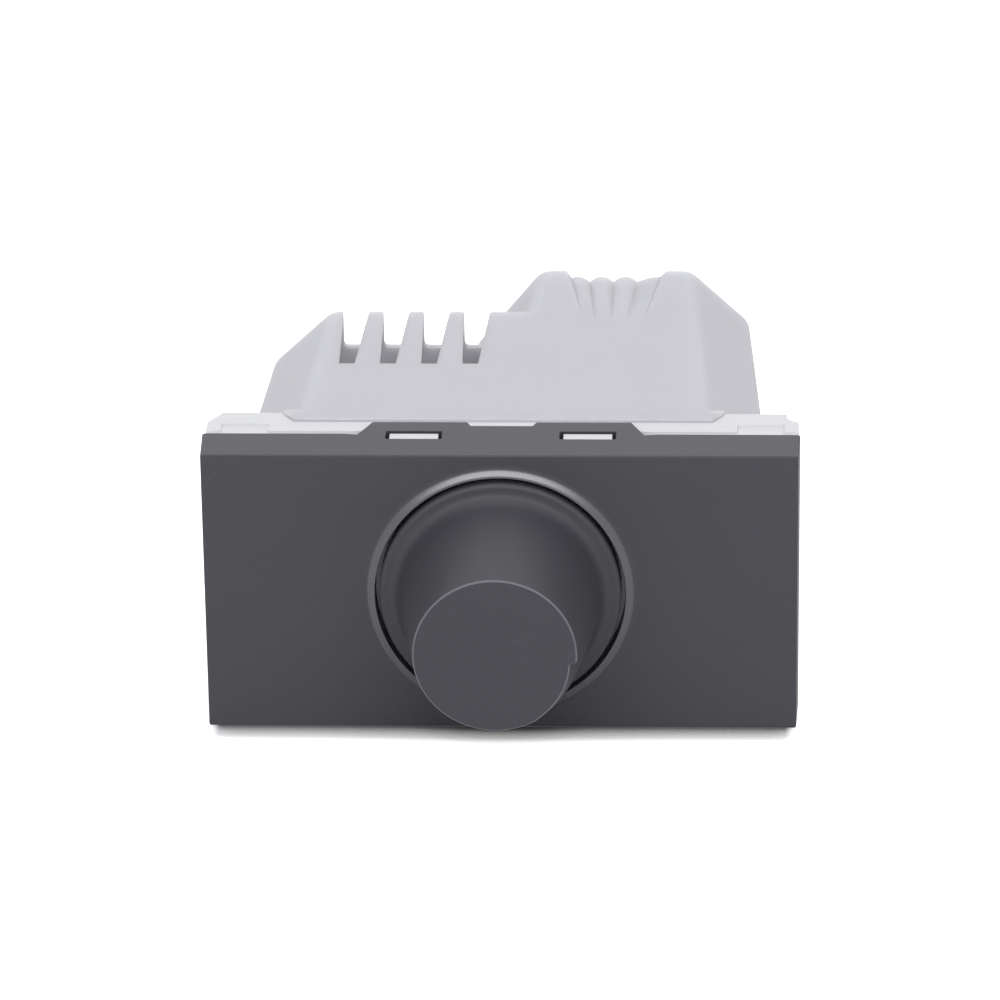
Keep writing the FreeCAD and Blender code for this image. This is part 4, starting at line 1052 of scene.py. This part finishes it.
def vent_slot(i):
    """Tapered slot through the long wall and down the rear wall, round at its feet."""
    floor, above, foot_round, top_round = CASE_TOP - 2.8, CASE_TOP + 1.5, 0.35, 0.05
    rings = []
    for y in (SLOT_FRONT, COMB_REAR + size("housing", "wall")):
        x = slot_middle(i) + between(y, SLOT_FRONT, COMB_REAR, 0.0, SLOT_SHIFT)
        half = between(y, SLOT_FRONT, COMB_REAR, 0.62, 1.025)
        corners = [(x - half, floor, foot_round), (x + half, floor, foot_round),
                   (x + half, above, top_round), (x - half, above, top_round)]
        rings.append([(px, y, pz) for px, pz in rounded(corners, 4)])
    return loft(rings)


def tooth_rounding(i):
    """Space that rounds the rear corners of the teeth on both sides of a slot."""
    x, half, turn = slot_middle(i) + SLOT_SHIFT, 1.015, 0.3
    outline = [(half + turn * (1 - c), COMB_REAR - turn * (1 - s)) for c, s in quarter(6)]
    outline.append((half + turn, COMB_REAR + 0.5))
    left = [(x - px, y) for px, y in outline]
    right = [(x + px, y) for px, y in reversed(outline)]
    return plate_z(left + right, CASE_TOP - 2.4, CASE_TOP + 1.4)


FLUTE_FRONT = 29.8


def flute_ring(y, width, flank, floor, crown):
    """Outline over the grip: the first flute is cut by its flank, the last rises into it."""
    count = bpy.context.scene.dimmer_housing.flutes
    centre, first_share, last_share, steps = 8.05, 0.75, 0.95, 10
    left, right = centre - width / 2, centre + width / 2
    rim = max(CASE_TOP, floor)
    above = CASE_TOP + 1.5
    pitch = width / (first_share + count - 2 + last_share)
    points = [(left - flank, y, above), (left - flank, y, rim)]
    start, begin = left, 1 - first_share
    for i in range(count):
        last = i == count - 1
        finish = 0.5 if last else 1.0
        stop = right if last else start + pitch * (finish - begin)
        for k in range(steps + 1):
            share = between(k, 0, steps, begin, finish)
            height = floor + crown * (1 - (2 * share - 1) ** 2)
            points.append((between(k, 0, steps, start, stop), y, height))
        if not last:
            points.pop()
        start, begin = stop, 0.0
    points += [(right + flank, y, rim), (right + flank, y, above)]
    return points


def flute_space():
    start = flute_ring(FLUTE_FRONT, width=4.87, flank=0.05, floor=CASE_TOP - 0.01, crown=0.08)
    end = flute_ring(TOWER_REAR + 1.2, width=7.45, flank=0.5, floor=CASE_TOP - 1.05, crown=0.48)
    return loft([start, end])


class DIMMER_OT_housing(bpy.types.Operator):
    """Rear housing with vent slots, terminal tower and fluted grip"""
    bl_idname = "dimmer.housing"
    bl_label = "Rear housing"

    def execute(self, context):
        wall = size("housing", "wall")
        comb_wall, tower_wall, clearance, tongue_depth = 0.9, 1.8, 0.02, 1.0
        obj = link("rear_housing_shell",
                   loft([case_ring(CHASSIS_REAR, 0.0), case_ring(TOWER_REAR, 0.0)]))
        cut(obj, [beside_tower()])
        tongue = plate_z(tongue_outline(0.0), CASE_TOP - tongue_depth, CASE_TOP)
        join(obj, above_and_below(tongue))
        main_room = loft([case_ring(CHASSIS_REAR - wall, wall),
                          case_ring(COMB_REAR - comb_wall, wall)])
        cut(obj, [main_room])
        inner = wall + clearance
        tower_room = loft([case_ring(COMB_REAR - wall, inner, tower=True),
                           case_ring(TOWER_REAR - tower_wall, inner, tower=True)])
        cut(obj, [tower_room])
        for space in (vent_slot, tooth_rounding):
            pieces = []
            for i in range(context.scene.dimmer_housing.slots):
                pieces += above_and_below(space(i))
            cut(obj, pieces)
        cut(obj, [flute_space()])
        entries = []
        entry, mouth, beyond, head_hole, rise = 1.6, 2.2, 3.4, 2.0, 1.65
        for side in ("left", "right"):
            x, y = (middle("clamp_screw_" + side, axis) for axis in (0, 1))
            z = near("terminal_bar_" + side, 1, 2) + rise
            entries.append(rod_y(x, z, ((TOWER_REAR - 3, entry), (TOWER_REAR - 0.5, entry),
                                        (TOWER_REAR, mouth), (TOWER_REAR + 1, beyond)), 64))
            entries.append(rod_z(x, y, ((CASE_BOTTOM - 1, head_hole),
                                        (CASE_BOTTOM + 2, head_hole)), 64))
        cut(obj, entries)
        soften(obj, size("housing", "edge"), angle=30.0)
        finish_piece(obj, "module", "case_plastic", housing_plastic(), "rear_housing")
        return {"FINISHED"}


# Wound, threaded and soldered pieces inside

THREAD_DEPTH = 0.2
WIRE_REACH = 1.2
SOLDERED = ("triac choke_winding suppression_capacitor timing_capacitor fuse resistors diac "
            "terminal_bar_left terminal_bar_right")


def stacked(start, end, radius, rows):
    """Evenly spaced profile points along a straight cylinder."""
    step = (end - start) / rows
    return [(radius, start + step * k) for k in range(rows + 1)]


def clamp_screw(name, side):
    """Slotted screw that stands upright, head down."""
    x, y = middle(name, 0), middle(name, 1)
    low, high = near(name, 0, 2), near(name, 1, 2)
    head, head_round, shank, chamfer, point, pitch = 2.2, 0.4, 1.5, 0.08, 0.25, 0.5
    seat = low + 1.6
    thread_start = seat + 0.1
    profile = [(0.0, low), (head - head_round, low)]
    profile += arc((head - head_round, low + head_round), head_round, -90, 0, 6)[1:]
    profile += [(head, seat - chamfer), (head - chamfer, seat), (shank, seat)]
    profile += stacked(thread_start, high - point, shank, 88)
    profile += [(shank - point, high), (0.0, high)]
    steel = bpy.data.materials["zinc_steel"]
    obj = turned(name + "_threaded", profile, steel, Steps_round=72, Thread_depth=THREAD_DEPTH,
                 Thread_pitch=pitch, Thread_from=thread_start, Thread_to=high)
    obj.data.transform(Matrix.Translation((x, y, 0)) @ Matrix.Rotation(math.pi / 2, 4, "X"))
    slot_half, slot_depth = 0.4, 0.9
    cut(obj, [block(x - slot_half, x + slot_half, y - 3, y + 3, low - 1, low + slot_depth)])
    finish_piece(obj, "screw_" + side, "steel", steel, name)


def threaded_bush():
    front, rear = near("pot_bush", 0, 1), near("pot_bush", 1, 1)
    bore, outer, collar, pitch = 3.05, 3.5, near("pot_bush", 1, 0), 0.75
    inner_chamfer, outer_chamfer, collar_front = 0.15, 0.2, rear - 0.4
    profile = [(bore, front + inner_chamfer), (bore + inner_chamfer, front),
               (outer - outer_chamfer, front)]
    profile += stacked(front + outer_chamfer, rear - 0.5, outer, 76)
    profile += [(outer, collar_front), (collar, collar_front), (collar, rear), (bore, rear),
                (bore, front + inner_chamfer)]
    brass = bpy.data.materials["brass"]
    obj = turned("pot_bush_threaded", profile, brass, Steps_round=96, Thread_depth=THREAD_DEPTH,
                 Thread_pitch=pitch, Thread_from=front, Thread_to=rear - 1.0)
    obj.data.transform(Matrix.Translation((0, 0, MID_Z)))
    finish_piece(obj, "module", "brass", brass, "pot_bush")


def wire_ends(name):
    """Centres of the wires that a piece sends through the board, as (x, z)."""
    front = near(name, 0, 1)
    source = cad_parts[name]
    groups = []
    for vert in source.data.vertices:
        point = source.matrix_world @ vert.co / MM
        if point.y - FACE_Y - front > 0.01:
            continue
        spot = Vector((point.x, point.z))
        group = next((old for old in groups if (old[0] - spot).length < WIRE_REACH), None)
        if group is None:
            groups.append([spot])
        else:
            group.append(spot)
    return [[(min(values) + max(values)) / 2 for values in zip(*group)] for group in groups]


def winding():
    """Choke winding of real turns, with its two wire ends."""
    name = "choke_winding"
    wire, tail, inner, gap, flange = 0.375, 0.35, 2.7, 0.1, 1.5
    front = near("choke_core", 0, 1) + flange + gap + wire
    rear = near("choke_core", 1, 1) - flange - gap - wire
    obj = link(name + "_turns", chain([(0.0, 0.0, 0.0), (0.0, 1.0, 0.0)]))
    copper = bpy.data.materials["copper_wire"]
    run_tree(obj, wound_coil_tree(), {
        "Turns": 14, "Layers": 4, "Steps": 28, "Inner radius": inner + wire, "Layer step": 0.66,
        "Front y": front, "Rear y": rear, "Wire radius": wire, "Material": copper})
    obj.data.transform(Matrix.Translation((middle("choke_core", 0), 0, MID_Z)))
    tails = [rod_y(end_x, end_z, ((near(name, 0, 1), tail), (front + 1, tail)), 24)
             for end_x, end_z in wire_ends(name)]
    bm = gather(tails)
    bm.from_mesh(obj.data)
    bm.to_mesh(obj.data)
    bm.free()
    finish_piece(obj, "module", "copper", copper, name, smooth_angle=60.0)


def solder():
    """Pads and solder where the wires come through the board."""
    front = near("circuit_board", 0, 1)
    bm = bmesh.new()
    for name in SOLDERED.split():
        for x, z in wire_ends(name):
            bm.verts.new((x, front, z))
    obj = link("solder_joints", bm)
    tin = bpy.data.materials["tinned_wire"]
    run_tree(obj, solder_tree(), {"Material": tin})
    finish_piece(obj, "module", "tinned", tin)


class DIMMER_OT_turnings(bpy.types.Operator):
    """Threaded screws and bush, wound choke and soldered joints"""
    bl_idname = "dimmer.turnings"
    bl_label = "Screws, winding and solder"

    def execute(self, context):
        for side in ("left", "right"):
            clamp_screw("clamp_screw_" + side, side)
        threaded_bush()
        winding()
        solder()
        return {"FINISHED"}


# Finishes of the pieces that keep their CAD shape: colour, roughness, grain and its
# height for plastics, and colour, roughness, grain and its stretch for metals

CAD_PLASTICS = {
    "ferrite": ((0.035, 0.034, 0.036), 0.6, 3000.0, 0.00002),
    "natural_plastic": ((0.66, 0.63, 0.53), 0.45, 3500.0, 0.00001),
    "phenolic": ((0.20, 0.09, 0.035), 0.5, 2500.0, 0.00001),
    "board_laminate": ((0.012, 0.11, 0.045), 0.35, 1800.0, 0.000006),
    "component_black": ((0.02, 0.02, 0.021), 0.55, 4000.0, 0.00001),
    "capacitor_yellow": ((0.65, 0.37, 0.03), 0.25, 1500.0, 0.000004),
    "capacitor_green": ((0.06, 0.18, 0.09), 0.25, 1500.0, 0.000004),
    "component_blue": ((0.02, 0.06, 0.25), 0.3, 1500.0, 0.000004),
    "resistor_tan": ((0.60, 0.40, 0.22), 0.4, 1500.0, 0.000006),
    "diac_blue": ((0.02, 0.10, 0.30), 0.3, 1500.0, 0.000004),
}
CAD_METALS = {
    "zinc_steel": ((0.56, 0.57, 0.60), 0.36, 2200.0),
    "tinned_wire": ((0.62, 0.62, 0.60), 0.30, 2000.0),
    "aluminium": ((0.74, 0.75, 0.76), 0.38, 1800.0, (0.1, 1.0, 1.0)),
}
FINISHED_NODES = {
    "zinc_steel": "knob_clip pot_body pot_washer triac_screw terminal_cage_left "
                  "terminal_cage_right clamp_screw_left clamp_screw_right",
    "natural_plastic": "pot_shaft pot_wiper terminal_carrier",
    "brass": "pot_bush pot_nut terminal_bar_left terminal_bar_right",
    "phenolic": "pot_track", "tinned_wire": "pot_pins", "board_laminate": "circuit_board",
    "component_black": "triac", "aluminium": "heat_sink", "ferrite": "choke_core",
    "copper_wire": "choke_winding", "capacitor_yellow": "suppression_capacitor",
    "capacitor_green": "timing_capacitor", "component_blue": "fuse",
    "resistor_tan": "resistors", "diac_blue": "diac",
}
RESISTOR_STRIPES = ((-0.0018, (0.14, 0.05, 0.02)), (-0.0009, (0.01, 0.01, 0.01)),
                    (0.0, (0.60, 0.17, 0.02)), (0.0014, (0.45, 0.30, 0.08)))
DIAC_STRIPES = ((0.0008, (0.02, 0.02, 0.02)),)


class DIMMER_OT_finishes(bpy.types.Operator):
    """Procedural finishes on the inner pieces"""
    bl_idname = "dimmer.finishes"
    bl_label = "Inner finishes"

    def execute(self, context):
        colours = context.scene.dimmer_colours
        paints = {name: moulded_plastic(name, *look) for name, look in CAD_PLASTICS.items()}
        paints.update({name: metal(name, *look) for name, look in CAD_METALS.items()})
        paints["brass"] = metal("brass", colours.brass, 0.32, 2500.0, (1.0, 0.1, 1.0))
        paints["copper_wire"] = metal("copper_wire", colours.copper, 0.28, 1500.0)
        board_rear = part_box("circuit_board")[1].y
        for name, lead in (("component_black", 0.0018), ("capacitor_yellow", 0.00025),
                           ("capacitor_green", 0.00025), ("component_blue", 0.00025)):
            tin_standing(paints[name], board_rear + lead)
        low, high = (corner.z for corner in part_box("resistors"))
        tin_lying(paints["resistor_tan"], (low + high) / 2, (high - low) / 2 - 0.00345, 0.0025,
                  RESISTOR_STRIPES)
        low, high = (corner.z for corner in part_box("diac"))
        tin_lying(paints["diac_blue"], (low + high) / 2, 0.0, 0.0017, DIAC_STRIPES)
        for finish, names in FINISHED_NODES.items():
            material = paints[finish].material
            for name in names.split():
                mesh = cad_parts[name].data
                if not mesh.materials:
                    mesh.materials.append(material)
                for index in range(len(mesh.materials)):
                    mesh.materials[index] = material
        return {"FINISHED"}


# Stage

LAMP_COLOUR = (0.955, 0.965, 1.0)
PAPER_GLOW = 0.7
SHADOW_COLOUR = (0.1, 0.1, 0.1)
WORLD_LEVEL = 0.5
STRIP_PLACE = (0.0, FACE_Y * MM - 0.47, 0.345)
TOP_PLACE = (0.0, 0.05, 0.90)
BACK_PLACE = (0.0, 0.65, 0.55)
SENSOR_WIDTH = 36.0
CAMERA_TARGET = Vector((0.067, FACE_Y, 18.883)) * MM


def lamp(name, location, target, width, height, watts):
    data = bpy.data.lights.new(name, "AREA")
    data.shape = "RECTANGLE"
    data.size = width
    data.size_y = height
    data.energy = watts
    data.color = LAMP_COLOUR
    obj = bpy.data.objects.new(name, data)
    obj.location = location
    aim = Vector(target) - Vector(location)
    obj.rotation_euler = aim.to_track_quat("-Z", "Y").to_euler()
    obj.visible_camera = False
    bpy.context.scene.collection.objects.link(obj)


def contact_shade(paint):
    """One where the floor meets the object, before the face and within its width."""
    contact = paint.add("ShaderNodeAmbientOcclusion", Distance=0.003)
    contact.samples = 8
    shade = paint.add("ShaderNodeValToRGB", Fac=contact.outputs["AO"])
    stops = shade.color_ramp.elements
    stops[0].position, stops[0].color = 0.5, (1.0, 1.0, 1.0, 1.0)
    stops[1].position, stops[1].color = 1.0, (0.0, 0.0, 0.0, 1.0)
    stops.new(0.94).color = (0.42, 0.42, 0.42, 1.0)
    place = paint.split(paint.place)
    ahead = paint.remap(place["Y"], FACE_Y * MM, FACE_Y * MM + 0.0006, 1.0, 0.0)
    corner = (WIDTH / 2 + FLARE) * MM
    within = paint.remap(paint.math("ABSOLUTE", place["X"]), corner - 0.001, corner, 1.0, 0.0)
    return paint.times(shade.outputs["Color"], ahead, within)


def floor_material(base):
    """Pale floor: white to the camera but for the shadow close to the object."""
    paint = Paint("floor")
    paint.dye(paint.blend(paint.noise(40.0, 3.0), base, [channel * 0.985 for channel in base]))
    paint.set(Roughness=0.9, Specular_IOR_Level=0.1)
    to_camera = paint.add("ShaderNodeLightPath").outputs["Is Camera Ray"]
    glow = paint.add("ShaderNodeEmission", Strength=paint.times(to_camera, PAPER_GLOW))
    lit = paint.ordered("ShaderNodeAddShader", paint.shader.outputs["BSDF"],
                        glow.outputs["Emission"])
    dark = paint.add("ShaderNodeBsdfDiffuse", Color=SHADOW_COLOUR)
    shade = paint.times(to_camera, contact_shade(paint))
    both = paint.ordered("ShaderNodeMixShader", shade, lit.outputs["Shader"],
                         dark.outputs["BSDF"])
    paint.feed(paint.surface, both.outputs["Shader"])
    return paint.material


def white_world(level):
    """White to the camera and in reflections, and an even light of a lower level."""
    world = bpy.data.worlds.new("studio")
    bpy.context.scene.world = world
    world.use_nodes = True
    tree = Tree(world.node_tree)
    tree.tree.nodes.clear()
    lighting = tree.add("ShaderNodeBackground", Strength=level)
    white = tree.add("ShaderNodeBackground", Strength=1.0, Color=(1.0, 1.0, 1.0))
    rays = tree.add("ShaderNodeLightPath").outputs
    seen = tree.math("MAXIMUM", rays["Is Camera Ray"], rays["Is Glossy Ray"])
    both = tree.ordered("ShaderNodeMixShader", seen, lighting.outputs["Background"],
                        white.outputs["Background"])
    tree.add("ShaderNodeOutputWorld", Surface=both.outputs["Shader"])


def aim_camera(stage):
    """Camera at the angle, distance and lens of the product view."""
    data = bpy.data.cameras.new("camera")
    data.lens = stage.focal
    data.sensor_width = SENSOR_WIDTH
    data.clip_start, data.clip_end = 0.01, 10.0
    obj = bpy.data.objects.new("camera", data)
    bpy.context.scene.collection.objects.link(obj)
    azimuth, elevation = stage.azimuth, stage.elevation
    back = Vector((math.sin(azimuth) * math.cos(elevation),
                   -math.cos(azimuth) * math.cos(elevation), math.sin(elevation)))
    forward = -back
    right = forward.cross(Vector((0, 0, 1))).normalized()
    up = right.cross(forward)
    turned_right = right * math.cos(stage.roll) + up * math.sin(stage.roll)
    turned_up = up * math.cos(stage.roll) - right * math.sin(stage.roll)
    turn = Matrix((turned_right, turned_up, back)).transposed()
    obj.matrix_world = Matrix.Translation(CAMERA_TARGET + back * stage.distance) @ turn.to_4x4()
    bpy.context.scene.camera = obj


class DIMMER_OT_stage(bpy.types.Operator):
    """Pale floor, soft lamps, white surroundings and the camera"""
    bl_idname = "dimmer.stage"
    bl_label = "Stage"

    def execute(self, context):
        scene = context.scene
        stage = scene.dimmer_stage
        scene.view_settings.view_transform = "Standard"
        bm = bmesh.new()
        bmesh.ops.create_grid(bm, x_segments=1, y_segments=1, size=1.5)
        floor = link("floor", bm)
        floor.data.materials.append(floor_material(scene.dimmer_colours.floor))
        white_world(WORLD_LEVEL)
        lamp("strip", STRIP_PLACE, (0, 0, 0), 1.0, 0.12, stage.strip_power)
        lamp("top", TOP_PLACE, (0, 0, 0), 1.0, 1.0, stage.top_power)
        lamp("back", BACK_PLACE, (0, 0, 0.01), 2.0, 0.9, stage.back_power)
        aim_camera(stage)
        return {"FINISHED"}


class DIMMER_PT_panel(bpy.types.Panel):
    bl_idname = "DIMMER_PT_panel"
    bl_label = "Rotary dimmer"
    bl_space_type = "VIEW_3D"
    bl_region_type = "UI"
    bl_category = "Dimmer"

    def draw(self, context):
        layout = self.layout
        for group in (context.scene.dimmer_cover, context.scene.dimmer_knob,
                      context.scene.dimmer_housing, context.scene.dimmer_colours,
                      context.scene.dimmer_stage):
            for name in group.__annotations__:
                layout.prop(group, name)
        for operator in OPERATORS:
            layout.operator(operator.bl_idname)


GROUPS = {"cover": DimmerCoverSizes, "knob": DimmerKnobSizes, "housing": DimmerHousingSizes,
          "colours": DimmerColours, "stage": DimmerStage}
OPERATORS = (DIMMER_OT_stage, DIMMER_OT_cover, DIMMER_OT_knob, DIMMER_OT_chassis,
             DIMMER_OT_housing, DIMMER_OT_finishes, DIMMER_OT_turnings)


def register():
    for name, group in GROUPS.items():
        bpy.utils.register_class(group)
        setattr(bpy.types.Scene, "dimmer_" + name, PointerProperty(type=group))
    for operator in OPERATORS:
        bpy.utils.register_class(operator)
    bpy.utils.register_class(DIMMER_PT_panel)


def unregister():
    bpy.utils.unregister_class(DIMMER_PT_panel)
    for operator in reversed(OPERATORS):
        bpy.utils.unregister_class(operator)
    for name, group in GROUPS.items():
        delattr(bpy.types.Scene, "dimmer_" + name)
        bpy.utils.unregister_class(group)


def main():
    register()
    bpy.ops.dimmer.stage()
    bpy.ops.dimmer.cover()
    bpy.ops.dimmer.knob()
    bpy.ops.dimmer.chassis()
    bpy.ops.dimmer.housing()
    bpy.ops.dimmer.finishes()
    bpy.ops.dimmer.turnings()


if __name__ == "__main__":
    main()
